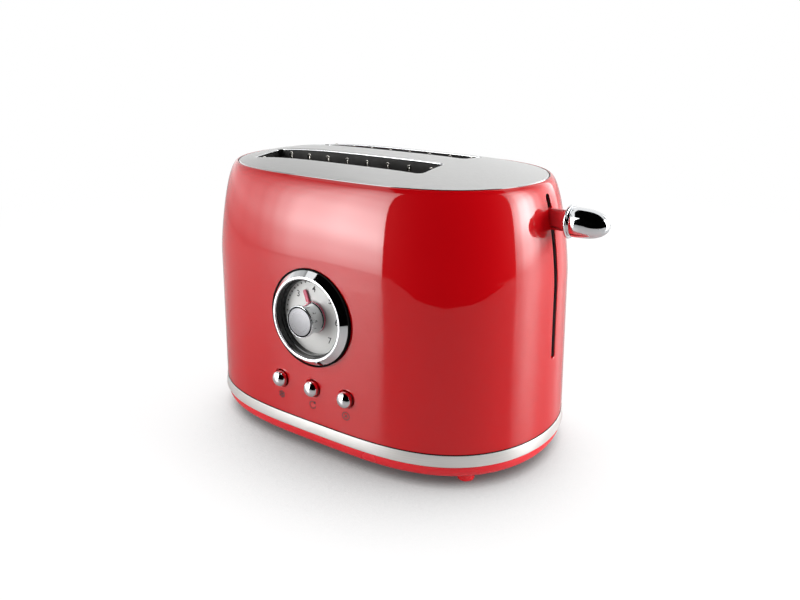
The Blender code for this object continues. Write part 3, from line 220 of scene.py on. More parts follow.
def outline_angles():
    """Parameters round the oval, spaced evenly along it and closer where it bends."""
    fine = 4000
    points = [oval(HALF_LENGTH, HALF_DEPTH, math.tau * step / fine) for step in range(fine + 1)]
    weights = [0]
    for index in range(1, fine + 1):
        step = points[index] - points[index - 1]
        after = points[(index + 1) % fine] - points[index]
        bend = step.angle(after, 0) if step.length and after.length else 0
        weights.append(weights[-1] + step.length / HALF_LENGTH + 1.2 * bend)
    angles = []
    index = 0
    for number in range(OUTLINE_POINTS):
        while weights[index] < weights[-1] * number / OUTLINE_POINTS:
            index += 1
        angles.append(math.tau * index / fine)
    return angles


ANGLES = outline_angles()


def body_ring(inset, height):
    """The body's outline drawn in by an inset, at one height, in the row frame."""
    ring = []
    for angle in ANGLES:
        flat = oval(HALF_LENGTH - inset, HALF_DEPTH - inset, angle)
        ring.append(MIDDLE + flat + Vector((0, 0, height)))
    return ring


def wall_share(point, inset):
    """1 on the wall of this inset, less inside it."""
    x = abs(point.x - MIDDLE.x) / (HALF_LENGTH - inset)
    y = abs(point.y - MIDDLE.y) / (HALF_DEPTH - inset)
    return x**FRONT_POWER + y**END_POWER


def wall_normal(point):
    """Outward normal of the body's painted wall near this point."""
    small = 0.00005
    height = min(point.z, RIM - small)
    here = wall_share(Vector((point.x, point.y, height)), body_inset(height))
    slopes = []
    for axis in (Vector((small, 0, 0)), Vector((0, small, 0)), Vector((0, 0, -small))):
        moved = Vector((point.x, point.y, height)) + axis
        slopes.append(wall_share(moved, body_inset(moved.z)) - here)
    slopes[2] = -slopes[2]
    return Vector(slopes).normalized()


def drop_to_wall(start, direction):
    """The point of the painted wall on a line from outside it, along a direction."""
    low = 0
    high = 0.05
    for _ in range(40):
        middle = (low + high) / 2
        point = start + direction * middle
        if wall_share(point, body_inset(point.z)) > 1:
            low = middle
        else:
            high = middle
    return start + direction * high


def new_mesh(name, points, faces, sharp_angle=math.radians(38)):
    """A mesh with shared points welded, faces out, and smooth but for its sharp edges."""
    mesh = bpy.data.meshes.new(name)
    mesh.from_pydata([tuple(point) for point in points], [], faces)
    shape = bmesh.new()
    shape.from_mesh(mesh)
    bmesh.ops.remove_doubles(shape, verts=shape.verts, dist=0.000001)
    bmesh.ops.recalc_face_normals(shape, faces=shape.faces)
    shape.to_mesh(mesh)
    shape.free()
    mesh.shade_smooth()
    mesh.set_sharp_from_angle(angle=sharp_angle)
    return mesh


def show(name, mesh, finishes, body, stands_for=()):
    """Adds a piece of the object that rides on a body and stands for its CAD nodes."""
    obj = bpy.data.objects.new(name, mesh)
    mesh.materials.clear()
    for finish in finishes:
        mesh.materials.append(finish)
    bpy.context.scene.collection.objects.link(obj)
    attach(obj, body)
    if stands_for:
        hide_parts(*stands_for)
    return obj


def even_shading(obj):
    """Flat faces keep their own normal beside their rounded edges."""
    shading = obj.modifiers.new("Even shading", "WEIGHTED_NORMAL")
    shading.keep_sharp = True
    shading.weight = 80


def skin(rings, closed_rings=True, loop=False):
    """Points and faces through rings of equal count."""
    count = len(rings[0])
    points = [point for ring in rings for point in ring]
    faces = []
    rows = len(rings) if loop else len(rings) - 1
    for row in range(rows):
        below = row * count
        above = ((row + 1) % len(rings)) * count
        for index in range(count if closed_rings else count - 1):
            after = (index + 1) % count
            faces.append((below + index, below + after, above + after, above + index))
    return points, faces


def prism(name, rings):
    """A closed cutter between two rings."""
    points, faces = skin(rings)
    count = len(rings[0])
    faces.append(tuple(range(count)))
    faces.append(tuple(range(count, 2 * count)))
    cutter = bpy.data.objects.new(name, new_mesh(name, points, faces))
    bpy.context.scene.collection.objects.link(cutter)
    return cutter


def cut_away(mesh, cutters):
    """The mesh with each cutter's space taken out of it, and the cutters removed."""
    body = bpy.data.objects.new("uncut", mesh)
    bpy.context.scene.collection.objects.link(body)
    for cutter in cutters:
        change = body.modifiers.new("Cut", "BOOLEAN")
        change.operation = "DIFFERENCE"
        change.solver = "EXACT"
        change.object = cutter
    bpy.context.view_layer.update()
    graph = bpy.context.evaluated_depsgraph_get()
    result = bpy.data.meshes.new_from_object(body.evaluated_get(graph))
    for old in [body, *cutters]:
        bpy.data.objects.remove(old, do_unlink=True)
    return result


def round_outline(radius, steps):
    """A circle as points (across, up)."""
    return [
        Vector((radius * math.cos(math.tau * step / steps), radius * math.sin(math.tau * step / steps)))
        for step in range(steps)
    ]


def long_outline(half_width, low, high, radius, steps):
    """An upright slot with round corners as points (across, up), anticlockwise."""
    points = []
    for centre_x, centre_y, start in (
        (half_width - radius, high - radius, 0),
        (radius - half_width, high - radius, 1),
        (radius - half_width, low + radius, 2),
        (half_width - radius, low + radius, 3),
    ):
        for step in range(steps + 1):
            angle = math.pi / 2 * (start + step / steps)
            points.append(Vector((centre_x + radius * math.cos(angle), centre_y + radius * math.sin(angle))))
    return points


def grown(outline, distance):
    """A closed outline moved outward by a distance."""
    moved = []
    count = len(outline)
    for index, point in enumerate(outline):
        before = outline[index - 1]
        after = outline[(index + 1) % count]
        along = (after - before).normalized()
        moved.append(point + distance * Vector((along.y, -along.x)))
    return moved


dial_joint = next(joint for joint in frame["joints"] if joint["name"] == "browning_dial_turn")
PANEL_NORMAL = -Vector(dial_joint["axis"]).normalized()
PANEL_ACROSS = Vector((1, 0, 0))
PANEL_UP = PANEL_NORMAL.cross(PANEL_ACROSS)
PANEL_MIDDLE = Vector(dial_joint["pos_m"])
PANEL = Matrix.Translation(PANEL_MIDDLE) @ Matrix((
    (PANEL_ACROSS.x, PANEL_UP.x, PANEL_NORMAL.x),
    (PANEL_ACROSS.y, PANEL_UP.y, PANEL_NORMAL.y),
    (PANEL_ACROSS.z, PANEL_UP.z, PANEL_NORMAL.z),
)).to_4x4()
BUTTON_NAMES = ("defrost", "reheat", "cancel")
BUTTON_HOLE_RADIUS = 0.0064
ARM_SLOT_HALF_WIDTH = 0.0025
arm_slot_low = Vector(frame["record"]["physics"]["openings"][2]["box_m"][0])


def button_place(name):
    """A button's middle in the panel's own plane."""
    low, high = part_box("button_" + name)
    local = PANEL.inverted() @ ((low + high) / 2)
    return Vector((local.x, local.y))


def on_panel(flat, depth=0):
    """A point of the panel's own plane, in the row frame."""
    return PANEL @ Vector((flat.x, flat.y, depth))


def wall_at(flat):
    """The painted wall behind or before a point of the panel's plane."""
    return drop_to_wall(on_panel(flat, 0.02), -PANEL_NORMAL)


def drawn_lip(outer, direction, place):
    """Rings from the wall, round the drawn edge and down into the hole."""
    rings = []
    for step in range(FILLET_STEPS + 1):
        angle = math.pi / 2 * step / FILLET_STEPS
        shift = LIP_ROUND * (1 - math.sin(angle))
        depth = LIP_ROUND * (1 - math.cos(angle))
        ring = []
        for point in grown(outer, shift):
            ring.append(place(point) + direction * depth)
        rings.append(ring)
    rings.append([point + direction * LIP_DEPTH for point in rings[-1]])
    return rings


def make_body_shell():
    profile = []
    for step in range(FILLET_STEPS + 1):
        angle = math.pi / 2 * step / FILLET_STEPS
        profile.append((HEM_RADIUS * (1 - math.sin(angle)), SHELL_BOTTOM + HEM_RADIUS * (1 - math.cos(angle))))
    for step in range(1, WALL_RINGS + 1):
        height = SHELL_BOTTOM + HEM_RADIUS + (SHOULDER - SHELL_BOTTOM - HEM_RADIUS) * step / WALL_RINGS
        profile.append((body_inset(height), height))
    for step in range(1, SHOULDER_RINGS):
        share = math.sin(math.pi / 2 * step / SHOULDER_RINGS) ** (2 / SHOULDER_POWER)
        height = SHOULDER + SHOULDER_HEIGHT * share
        profile.append((body_inset(height), height))
    outside = len(profile)
    for step in range(FILLET_STEPS + 1):
        angle = math.pi / 2 * step / FILLET_STEPS
        inset = RIM_INSET - RIM_ROUND + RIM_ROUND * math.sin(angle)
        profile.append((inset, RIM - RIM_ROUND * (1 - math.cos(angle))))
    plate_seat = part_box("top_plate")[0].z - 0.0003
    profile.append((RIM_INSET, plate_seat))
    profile.append((RIM_INSET + 0.0040, plate_seat))
    inside = len(profile)
    profile.append((RIM_INSET + 0.0040, plate_seat - SHELL_WALL))
    profile.append((RIM_INSET - SHELL_WALL, plate_seat - SHELL_WALL))
    for step in range(14, -1, -1):
        height = SHOULDER + (SHOULDER_HEIGHT - 0.0035) * step / 14
        profile.append((body_inset(height) + SHELL_WALL, height))
    profile.append((SHELL_WALL, SHELL_BOTTOM))
    points, faces = skin([body_ring(*place) for place in profile], loop=True)
    mesh = new_mesh("body_shell_pressing", points, faces)

    cutters = []
    lips = []
    reach = 0.012
    holes = [
        (round_outline(BUTTON_HOLE_RADIUS, 48), button_place(name)) for name in BUTTON_NAMES
    ]
    for outline, centre in holes:
        edge = [point + centre for point in outline]
        wide = grown(edge, LIP_ROUND)
        cutters.append(prism("button_hole", [
            [wall_at(point) - PANEL_NORMAL * reach for point in wide],
            [wall_at(point) + PANEL_NORMAL * reach for point in wide],
        ]))
        lips.append(drawn_lip(edge, -PANEL_NORMAL, wall_at))
    bezel_low, bezel_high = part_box("dial_bezel")
    dial_outline = round_outline((bezel_high.x - bezel_low.x) / 2 - 0.0012, 96)
    cutters.append(prism("dial_hole", [
        [on_panel(point, -reach) for point in dial_outline],
        [on_panel(point, reach) for point in dial_outline],
    ]))
    low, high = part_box("lever_arm")
    slot_low = low.z - 0.0800 - 0.0060
    slot_high = high.z + 0.0084
    slot = [
        Vector((point.x + MIDDLE.y, point.y))
        for point in long_outline(ARM_SLOT_HALF_WIDTH, slot_low, slot_high, 0.0022, 6)
    ]

    def end_wall(point):
        return drop_to_wall(Vector((MIDDLE.x + HALF_LENGTH + 0.01, point.x, point.y)), Vector((-1, 0, 0)))

    wide = grown(slot, LIP_ROUND)
    cutters.append(prism("arm_slot", [
        [Vector((MIDDLE.x + HALF_LENGTH - 0.030, point.x, point.y)) for point in wide],
        [Vector((MIDDLE.x + HALF_LENGTH + 0.010, point.x, point.y)) for point in wide],
    ]))
    fine_slot = []
    for index, point in enumerate(slot):
        after = slot[(index + 1) % len(slot)]
        pieces = max(1, round((after - point).length / 0.003))
        fine_slot += [point.lerp(after, number / pieces) for number in range(pieces)]
    lips.append(drawn_lip(fine_slot, Vector((-1, 0, 0)), end_wall))

    mesh = cut_away(mesh, cutters)
    shape = bmesh.new()
    shape.from_mesh(mesh)
    for rings in lips:
        points, faces = skin(rings)
        made = [shape.verts.new(point) for point in points]
        for face in faces:
            shape.faces.new([made[index] for index in face]).smooth = True
    shape.normal_update()
    shape.to_mesh(mesh)
    shape.free()
    shell = show(
        "body_shell_pressing", mesh, [gloss_red_lacquer(), bare_zinc()], "housing", ["body_shell"]
    )
    follow_wall(mesh)
    return shell


def follow_wall(mesh):
    """Gives the painted skin the true wall's normals, so that reflections run clean past the holes."""
    normals = []
    for polygon in mesh.polygons:
        polygon.use_smooth = True
        middle = polygon.center
        share = wall_share(middle, body_inset(middle.z))
        outward = wall_normal(middle)
        level = SHELL_BOTTOM + HEM_RADIUS <= middle.z <= RIM - 0.0002
        on_skin = level and share > 0.985 and outward.dot(polygon.normal) > 0.93
        inner = share < 0.985 and outward.dot(polygon.normal) < 0
        polygon.material_index = 1 if inner else 0
        for corner in polygon.loop_indices:
            vertex = mesh.loops[corner].vertex_index
            if on_skin:
                normals.append(wall_normal(mesh.vertices[vertex].co))
            else:
                normals.append(mesh.corner_normals[corner].vector.copy())
    mesh.normals_split_custom_set([tuple(normal) for normal in normals])


make_body_shell()


# Top plate. Stainless sheet, pressed to a low dome and brushed along its length. The mouths of
# the two slots are folded down to a rounded edge, and the rim sits on the ledge of the body.
PLATE_CROWN = 0.0080
PLATE_SHEET = 0.0012
PLATE_EDGE_ROUND = 0.0010
PLATE_RINGS = 20
SLOT_LENGTH = 0.1440
SLOT_WIDTH = 0.0275
SLOT_SHIFT = -0.0160
SLOT_SIDE = 0.02625
MOUTH_CORNER = 0.0040
MOUTH_ROUND = 0.0011
MOUTH_LIP = 0.0009
MOUTH_SPACING = 0.004

plate_low, plate_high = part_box("top_plate")
PLATE_HALF_LENGTH = (plate_high.x - plate_low.x) / 2
PLATE_HALF_DEPTH = (plate_high.y - plate_low.y) / 2


def brushed_stainless(name, colour, roughness, along, metal=1.0):
    """Stainless steel brushed with a fine belt: a satin white gleam drawn out along the strokes.

    The strokes are drawn 0.35 mm apart, coarser than the real grit, so that the render shows them.
    """
    stroke_gap = 0.00035
    stroke_length = 0.030
    made, tree, shader = start_finish(name, {"Metallic": metal, "Anisotropic": 0.55})
    place = add(tree, "TexCoord")
    scale = [1 / stroke_gap] * 3
    for axis in along:
        scale[axis] = 1 / stroke_length
    stretched = add(tree, "Mapping", {"Scale": scale}, {"Vector": (place, "Object")})
    strokes = add(tree, "TexNoise", {"Scale": 1.0, "Detail": 3.0}, {"Vector": (stretched, "Vector")})
    cloud = add(tree, "TexNoise", {"Scale": 22.0, "Detail": 2.0}, {"Vector": (place, "Object")})
    tone = add(tree, "ValToRGB", None, {"Fac": (strokes, "Fac")})
    tone.color_ramp.elements[0].position = 0.25
    tone.color_ramp.elements[0].color = linear(colour[0])
    tone.color_ramp.elements[1].position = 0.75
    tone.color_ramp.elements[1].color = linear(colour[1])
    tree.links.new(tone.outputs["Color"], shader.inputs["Base Color"])
    blend = add(tree, "Math", {"operation": "MULTIPLY_ADD", 1: 0.10, 2: roughness - 0.05}, {0: (cloud, "Fac")})
    tree.links.new(blend.outputs["Value"], shader.inputs["Roughness"])
    bump = add(tree, "Bump", {"Strength": 0.12, "Distance": 0.00002}, {"Height": (strokes, "Fac")})
    tree.links.new(bump.outputs["Normal"], shader.inputs["Normal"])
    grain = add(tree, "Tangent", {"direction_type": "UV_MAP", "uv_map": "grain"})
    tree.links.new(grain.outputs["Tangent"], shader.inputs["Tangent"])
    return made


def polished_stainless(name, colour="#E2E3E4"):
    """Stainless steel polished where the sheet was rolled or cut: a clear, faintly wavy mirror."""
    made, tree, shader = start_finish(name, {"Metallic": 1.0, "Base Color": linear(colour)})
    place = add(tree, "TexCoord")
    wave = add(tree, "TexNoise", {"Scale": 160.0, "Detail": 2.0}, {"Vector": (place, "Object")})
    rough = add(tree, "MapRange", {"To Min": 0.05, "To Max": 0.11}, {"Value": (wave, "Fac")})
    tree.links.new(rough.outputs["Result"], shader.inputs["Roughness"])
    return made


def dome_drop(x, y):
    """How far the plate lies below its crown, at a place from the middle of the body."""
    return PLATE_CROWN * ((abs(x) / PLATE_HALF_LENGTH) ** FRONT_POWER + (abs(y) / PLATE_HALF_DEPTH) ** END_POWER)


def on_dome(point, depth=0):
    """The plate's upper face, or a depth under it, at this place in the row frame."""
    drop = dome_drop(point.x - MIDDLE.x, point.y - MIDDLE.y)
    return Vector((point.x, point.y, RIM + PLATE_CROWN - drop - depth))


def dome_normal(point):
    small = 0.0001
    x = point.x - MIDDLE.x
    y = point.y - MIDDLE.y
    here = dome_drop(x, y)
    return Vector(((dome_drop(x + small, y) - here) / small, (dome_drop(x, y + small) - here) / small, 1)).normalized()


def resampled(outline, spacing):
    """A closed outline with its long straights divided."""
    points = []
    for index, point in enumerate(outline):
        after = outline[(index + 1) % len(outline)]
        pieces = max(1, round((after - point).length / spacing))
        points += [point.lerp(after, number / pieces) for number in range(pieces)]
    return points


def mouth_outline(side):
    """Round the mouth of a slot, as places in the row frame."""
    half = SLOT_LENGTH / 2
    upright = long_outline(SLOT_WIDTH / 2, -half, half, MOUTH_CORNER, 8)
    return [
        Vector((MIDDLE.x + SLOT_SHIFT + point.y, MIDDLE.y + side * SLOT_SIDE - point.x))
        for point in resampled(upright, MOUTH_SPACING)
    ]


def lay_grain(mesh, across=0, up=1):
    """A UV layer along two axes, for finishes with a direction."""
    layer = mesh.uv_layers.new(name="grain")
    for loop in mesh.loops:
        place = mesh.vertices[loop.vertex_index].co
        layer.data[loop.index].uv = (place[across] * 4, place[up] * 4)


def make_top_plate():
    def plate_ring(inset, share, depth):
        ring = []
        for angle in ANGLES:
            flat = oval((PLATE_HALF_LENGTH - inset) * share, (PLATE_HALF_DEPTH - inset) * share, angle)
            ring.append(on_dome(MIDDLE + flat, depth))
        return ring

    rings = []
    for step in range(PLATE_RINGS + 1):
        rings.append(plate_ring(0, math.sin(math.pi / 2 * step / PLATE_RINGS), PLATE_SHEET))
    for step in range(FILLET_STEPS + 1):
        angle = math.pi / 2 * step / FILLET_STEPS
        rings.append(plate_ring(
            PLATE_EDGE_ROUND * (1 - math.cos(angle)), 1, PLATE_EDGE_ROUND * (1 - math.sin(angle))
        ))
    for step in range(PLATE_RINGS - 1, -1, -1):
        rings.append(plate_ring(PLATE_EDGE_ROUND, math.sin(math.pi / 2 * step / PLATE_RINGS), 0))
    points, faces = skin(rings)
    mesh = new_mesh("top_plate_sheet", points, faces)
    cutters = []
    lips = []
    for side in (-1, 1):
        outline = mouth_outline(side)
        wide = grown(outline, MOUTH_ROUND)
        cutters.append(prism("mouth", [
            [Vector((point.x, point.y, RIM - 0.010)) for point in wide],
            [Vector((point.x, point.y, RIM + 0.020)) for point in wide],
        ]))
        rings = []
        for step in range(FILLET_STEPS + 1):
            angle = math.pi / 2 * step / FILLET_STEPS
            shift = MOUTH_ROUND * (1 - math.sin(angle))
            depth = MOUTH_LIP * (1 - math.cos(angle))
            rings.append([on_dome(point, depth) for point in grown(outline, shift)])
        rings.append([on_dome(point, MOUTH_LIP) for point in wide])
        lips.append(rings)
    mesh = cut_away(mesh, cutters)
    shape = bmesh.new()
    shape.from_mesh(mesh)
    for rings in lips:
        points, faces = skin(rings)
        made = [shape.verts.new(point) for point in points]
        for face in faces:
            shape.faces.new([made[index] for index in reversed(face)]).smooth = True
    shape.normal_update()
    shape.to_mesh(mesh)
    shape.free()
    lay_grain(mesh)
    finishes = [
        brushed_stainless("brushed_stainless_plate", ("#D0D0CF", "#DCDCDB"), 0.34, (0,), 0.4),
        polished_stainless("polished_plate_edge"),
    ]
    plate = show("top_plate_sheet", mesh, finishes, "housing", ["top_plate"])
    normals = []
    for polygon in mesh.polygons:
        polygon.use_smooth = True
        outward = dome_normal(polygon.center)
        level = abs(polygon.center.z - on_dome(polygon.center).z) < 0.0003 and polygon.normal.dot(outward) > 0.99
        polygon.material_index = 0 if level else 1
        for corner in polygon.loop_indices:
            vertex = mesh.vertices[mesh.loops[corner].vertex_index].co
            normals.append(dome_normal(vertex) if level else mesh.corner_normals[corner].vector.copy())
    mesh.normals_split_custom_set([tuple(normal) for normal in normals])
    return plate


make_top_plate()


# Slot frame. Sheet steel on the end plates, with a sleeve down each slot and a row of notches in
# its walls that the guard wires move in. It is blackened by heat, with a dull grey sheen.
GUARD_BARS = 8
GUARD_PITCH = 0.0176
FRAME_DROP = 0.0102
FRAME_SHEET = 0.0010
SLEEVE_WALL = 0.0008
SLEEVE_DEPTH = 0.0168
SLEEVE_GAP = 0.0003
NOTCH_WIDTH = 0.0030
NOTCH_RISE = 0.0055
NOTCH_TOP = RIM - 0.0020 + NOTCH_RISE


def gathered(parts):
    """Points and faces of several shapes as one."""
    points = []
    faces = []
    for more_points, more_faces in parts:
        faces += [tuple(index + len(points) for index in face) for face in more_faces]
        points += more_points
    return points, faces


def blued_steel():
    """Steel sheet dulled by heat: dark grey with soft straw and blue-grey clouds."""
    made, tree, shader = start_finish("heat_dulled_steel", {"Metallic": 0.6})
    place = add(tree, "TexCoord")
    cloud = add(tree, "TexNoise", {"Scale": 70.0, "Detail": 4.0}, {"Vector": (place, "Object")})
    tone = add(tree, "ValToRGB", None, {"Fac": (cloud, "Fac")})
    tone.color_ramp.elements[0].position = 0.35
    tone.color_ramp.elements[0].color = linear("#252423")
    tone.color_ramp.elements[1].position = 0.7
    tone.color_ramp.elements[1].color = linear("#373635")
    tree.links.new(tone.outputs["Color"], shader.inputs["Base Color"])
    rough = add(tree, "MapRange", {"To Min": 0.42, "To Max": 0.6}, {"Value": (cloud, "Fac")})
    tree.links.new(rough.outputs["Result"], shader.inputs["Roughness"])
    return made


def dress(finish, *nodes):
    """Gives CAD nodes a finish."""
    for node in nodes:
        for place in frame["nodes"][node].material_slots:
            place.material = finish


def notch_places():
    """The guard wires' and notches' places along the row."""
    low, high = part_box("guard_front_outer")
    return [(low.x + high.x) / 2 + GUARD_PITCH * (number - (GUARD_BARS - 1) / 2) for number in range(GUARD_BARS)]


def notch_outline(x):
    """A notch, open at the sleeve's foot and round at its top, as places (along, up)."""
    half = NOTCH_WIDTH / 2
    foot = RIM - FRAME_DROP - SLEEVE_DEPTH - SLEEVE_WALL
    outline = [(x - half, foot), (x + half, foot)]
    for step in range(9):
        angle = math.pi * step / 8
        outline.append((x + half * math.cos(angle), NOTCH_TOP - half + half * math.sin(angle)))
    return outline


def closed_prism(rings):
    """Points and faces of a solid between two rings."""
    points, faces = skin(rings)
    count = len(rings[0])
    return points, faces + [tuple(range(count)), tuple(range(count, 2 * count))]


def make_slot_frame():
    low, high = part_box("slot_frame")
    level = RIM - FRAME_DROP
    corners = ((low.x, low.y), (high.x, low.y), (high.x, high.y), (low.x, high.y))
    sheet = closed_prism([[Vector((x, y, z)) for x, y in corners] for z in (level - FRAME_SHEET, level)])
    holes = []
    sleeves = []
    notches = []
    for side in (-1, 1):
        inner = grown(mouth_outline(side), SLEEVE_GAP)
        outer = grown(mouth_outline(side), SLEEVE_GAP + SLEEVE_WALL)
        foot = level - SLEEVE_DEPTH
        holes.append(prism("hole", [
            [Vector((point.x, point.y, z)) for point in outer] for z in (level - 2 * FRAME_SHEET, level + FRAME_SHEET)
        ]))
        sleeves.append(skin([
            [Vector((point.x, point.y, foot)) for point in outer],
            [on_dome(point, PLATE_SHEET + SLEEVE_GAP) for point in outer],
            [on_dome(point, PLATE_SHEET + SLEEVE_GAP) for point in inner],
            [Vector((point.x, point.y, foot)) for point in inner],
        ], loop=True))
        for face in (-1, 1):
            y = MIDDLE.y + side * SLOT_SIDE + face * (SLOT_WIDTH / 2 + SLEEVE_GAP + SLEEVE_WALL / 2)
            for x in notch_places():
                notches.append(closed_prism([
                    [Vector((across, y + shift, up)) for across, up in notch_outline(x)]
                    for shift in (-SLEEVE_WALL, SLEEVE_WALL)
                ]))
    flat = cut_away(new_mesh("frame_sheet", *sheet), holes)
    cutter = bpy.data.objects.new("notches", new_mesh("notches", *gathered(notches)))
    bpy.context.scene.collection.objects.link(cutter)
    walls = cut_away(new_mesh("sleeves", *gathered(sleeves)), [cutter])
    for name, mesh, stands_for in (("frame_sheet", flat, ["slot_frame"]), ("slot_sleeves", walls, ())):
        mesh.shade_smooth()
        mesh.set_sharp_from_angle(angle=math.radians(30))
        show(name, mesh, [BLUED_STEEL], "housing", stands_for)


BLUED_STEEL = blued_steel()
make_slot_frame()


# Bread guards. Two in each slot, each a row of upright wires welded to two rails: nickelled
# spring wire, 1.6 mm. The rails' ends run in the end plates' slots.
GUARD_WIRE = 0.0016
GUARD_TAIL_ROUND = 0.0004
GUARD_RAIL_DROP = 0.0213
WIRE_SIDES = 12
GUARD_NAMES = ("front_outer", "front_inner", "rear_inner", "rear_outer")


def nickelled_wire():
    """Bright drawn wire: white metal with fine lengthwise draw marks that soften its gleam."""
    made, tree, shader = start_finish("nickelled_wire", {"Metallic": 1.0, "Base Color": linear("#C9C6C0")})
    place = add(tree, "TexCoord")
    marks = add(tree, "TexNoise", {"Scale": 900.0, "Detail": 2.0}, {"Vector": (place, "Object")})
    rough = add(tree, "MapRange", {"To Min": 0.14, "To Max": 0.28}, {"Value": (marks, "Fac")})
    tree.links.new(rough.outputs["Result"], shader.inputs["Roughness"])
    bump = add(tree, "Bump", {"Strength": 0.08, "Distance": 0.00002}, {"Height": (marks, "Fac")})
    tree.links.new(bump.outputs["Normal"], shader.inputs["Normal"])
    return made


def tube(path, radius, sides=WIRE_SIDES, round_ends=True):
    """Points and faces of a round wire along a path."""
    rings = []
    across = None
    for index, point in enumerate(path):
        before = path[max(0, index - 1)]
        after = path[min(len(path) - 1, index + 1)]
        along = (after - before).normalized()
        if across is None:
            across = along.orthogonal().normalized()
        across = (across - along * across.dot(along)).normalized()
        up = along.cross(across)
        ends = [(0, 1)]
        if round_ends and index == 0:
            ends = [(-math.cos(turn), math.sin(turn)) for turn in (0, math.pi / 6, math.pi / 3, math.pi / 2)]
        if round_ends and index == len(path) - 1:
            ends = [(math.cos(turn), math.sin(turn)) for turn in (math.pi / 2, math.pi / 3, math.pi / 6, 0)]
        for shift, share in ends:
            ring = []
            for side in range(sides):
                angle = math.tau * side / sides
                spoke = across * math.cos(angle) + up * math.sin(angle)
                ring.append(point + along * shift * radius + spoke * share * radius)
            rings.append(ring)
    return skin(rings)


NICKELLED_WIRE = nickelled_wire()


def make_guard(name):
    low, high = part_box("guard_" + name)
    radius = GUARD_WIRE / 2
    y = (low.y + high.y) / 2
    first = (low.x + high.x) / 2 - GUARD_PITCH * (GUARD_BARS - 1) / 2
    inset = GUARD_WIRE / 2
    parts = []
    for z in (low.z + radius, high.z - GUARD_RAIL_DROP + radius):
        parts.append(tube([Vector((low.x + inset, y, z)), Vector((high.x - inset, y, z))], radius))
    for number in range(GUARD_BARS):
        x = first + GUARD_PITCH * number
        parts.append(tube([Vector((x, y, low.z + radius)), Vector((x, y, high.z - radius + NOTCH_RISE))], radius))
    points, faces = gathered(parts)
    mesh = new_mesh("guard_wires_" + name, points, faces, math.radians(60))
    show("guard_wires_" + name, mesh, [NICKELLED_WIRE], "guard_" + name, ["guard_" + name])


for guard_name in GUARD_NAMES:
    make_guard(guard_name)


# Notch rims. The sleeve's sheet is coined round each notch, which leaves a bright rolled rim.
NOTCH_RIM = 0.00030
NOTCH_RIM_LENGTH = 0.0140


def make_notch_rims(side, face):
    y = MIDDLE.y + side * SLOT_SIDE + face * (SLOT_WIDTH / 2 + SLEEVE_GAP)
    half = NOTCH_WIDTH / 2
    top = NOTCH_TOP - half
    parts = []
    for x in notch_places():
        path = [Vector((x + half, y, top - NOTCH_RIM_LENGTH))]
        for step in range(9):
            angle = math.pi * step / 8
            path.append(Vector((x + half * math.cos(angle), y, top + half * math.sin(angle))))
        path.append(Vector((x - half, y, top - NOTCH_RIM_LENGTH)))
        parts.append(tube(path, NOTCH_RIM, 8))
    points, faces = gathered(parts)
    name = "notch_rims_%s_%s" % ("front" if side < 0 else "rear", "outer" if side == face else "inner")
    show(name, new_mesh(name, points, faces, math.radians(60)), [NICKELLED_WIRE], "housing", ())


for slot_side in (-1, 1):
    for wall_face in (-1, 1):
        make_notch_rims(slot_side, wall_face)


# Heaters. Three boards of pressed mica with a flat resistance ribbon wound round each in level
# turns, and a reflector of aluminised sheet behind each outer board.
RIBBON_WIDTH = 0.0014
RIBBON_THICKNESS = 0.00015
RIBBON_PITCH = 0.0078
RIBBON_MARGIN = 0.0060
RIBBON_END_MARGIN = 0.0022


def pressed_mica():
    """Mica board: pale silvery tan, made of overlapping flakes that glint a little."""
    flake = 0.0035
    made, tree, shader = start_finish("pressed_mica", {"Metallic": 0.1, "Sheen Weight": 0.1})
    place = add(tree, "TexCoord")
    flakes = add(tree, "TexVoronoi", {"Scale": 1 / flake}, {"Vector": (place, "Object")})
    tone = add(tree, "ValToRGB", None, {"Fac": (flakes, "Color")})
    tone.color_ramp.elements[0].color = linear("#A59A82")
    tone.color_ramp.elements[1].color = linear("#CFC7B2")
    tree.links.new(tone.outputs["Color"], shader.inputs["Base Color"])
    rough = add(tree, "MapRange", {"To Min": 0.25, "To Max": 0.6}, {"Value": (flakes, "Color")})
    tree.links.new(rough.outputs["Result"], shader.inputs["Roughness"])
    bump = add(tree, "Bump", {"Strength": 0.2, "Distance": 0.00005}, {"Height": (flakes, "Distance")})
    tree.links.new(bump.outputs["Normal"], shader.inputs["Normal"])
    return made


def fired_ribbon():
    """Resistance ribbon after its first heats: dark brown-grey oxide, lighter where it is worn."""
    made, tree, shader = start_finish("oxidised_ribbon", {"Metallic": 0.7, "Roughness": 0.42})
    place = add(tree, "TexCoord")
    cloud = add(tree, "TexNoise", {"Scale": 160.0, "Detail": 3.0}, {"Vector": (place, "Object")})
    tone = add(tree, "ValToRGB", None, {"Fac": (cloud, "Fac")})
    tone.color_ramp.elements[0].color = linear("#4A423D")
    tone.color_ramp.elements[1].color = linear("#847A72")
    tree.links.new(tone.outputs["Color"], shader.inputs["Base Color"])
    return made


def aluminised_sheet():
    """Hot-dipped aluminised steel: soft silver with a faint spangle about 4 mm across."""
    spangle = 0.004
    made, tree, shader = start_finish("aluminised_sheet", {"Metallic": 1.0})
    place = add(tree, "TexCoord")
    cells = add(tree, "TexVoronoi", {"Scale": 1 / spangle}, {"Vector": (place, "Object")})
    tone = add(tree, "ValToRGB", None, {"Fac": (cells, "Color")})
    tone.color_ramp.elements[0].color = linear("#A9AAAA")
    tone.color_ramp.elements[1].color = linear("#C3C4C4")
    tree.links.new(tone.outputs["Color"], shader.inputs["Base Color"])
    rough = add(tree, "MapRange", {"To Min": 0.28, "To Max": 0.42}, {"Value": (cells, "Distance")})
    tree.links.new(rough.outputs["Result"], shader.inputs["Roughness"])
    return made


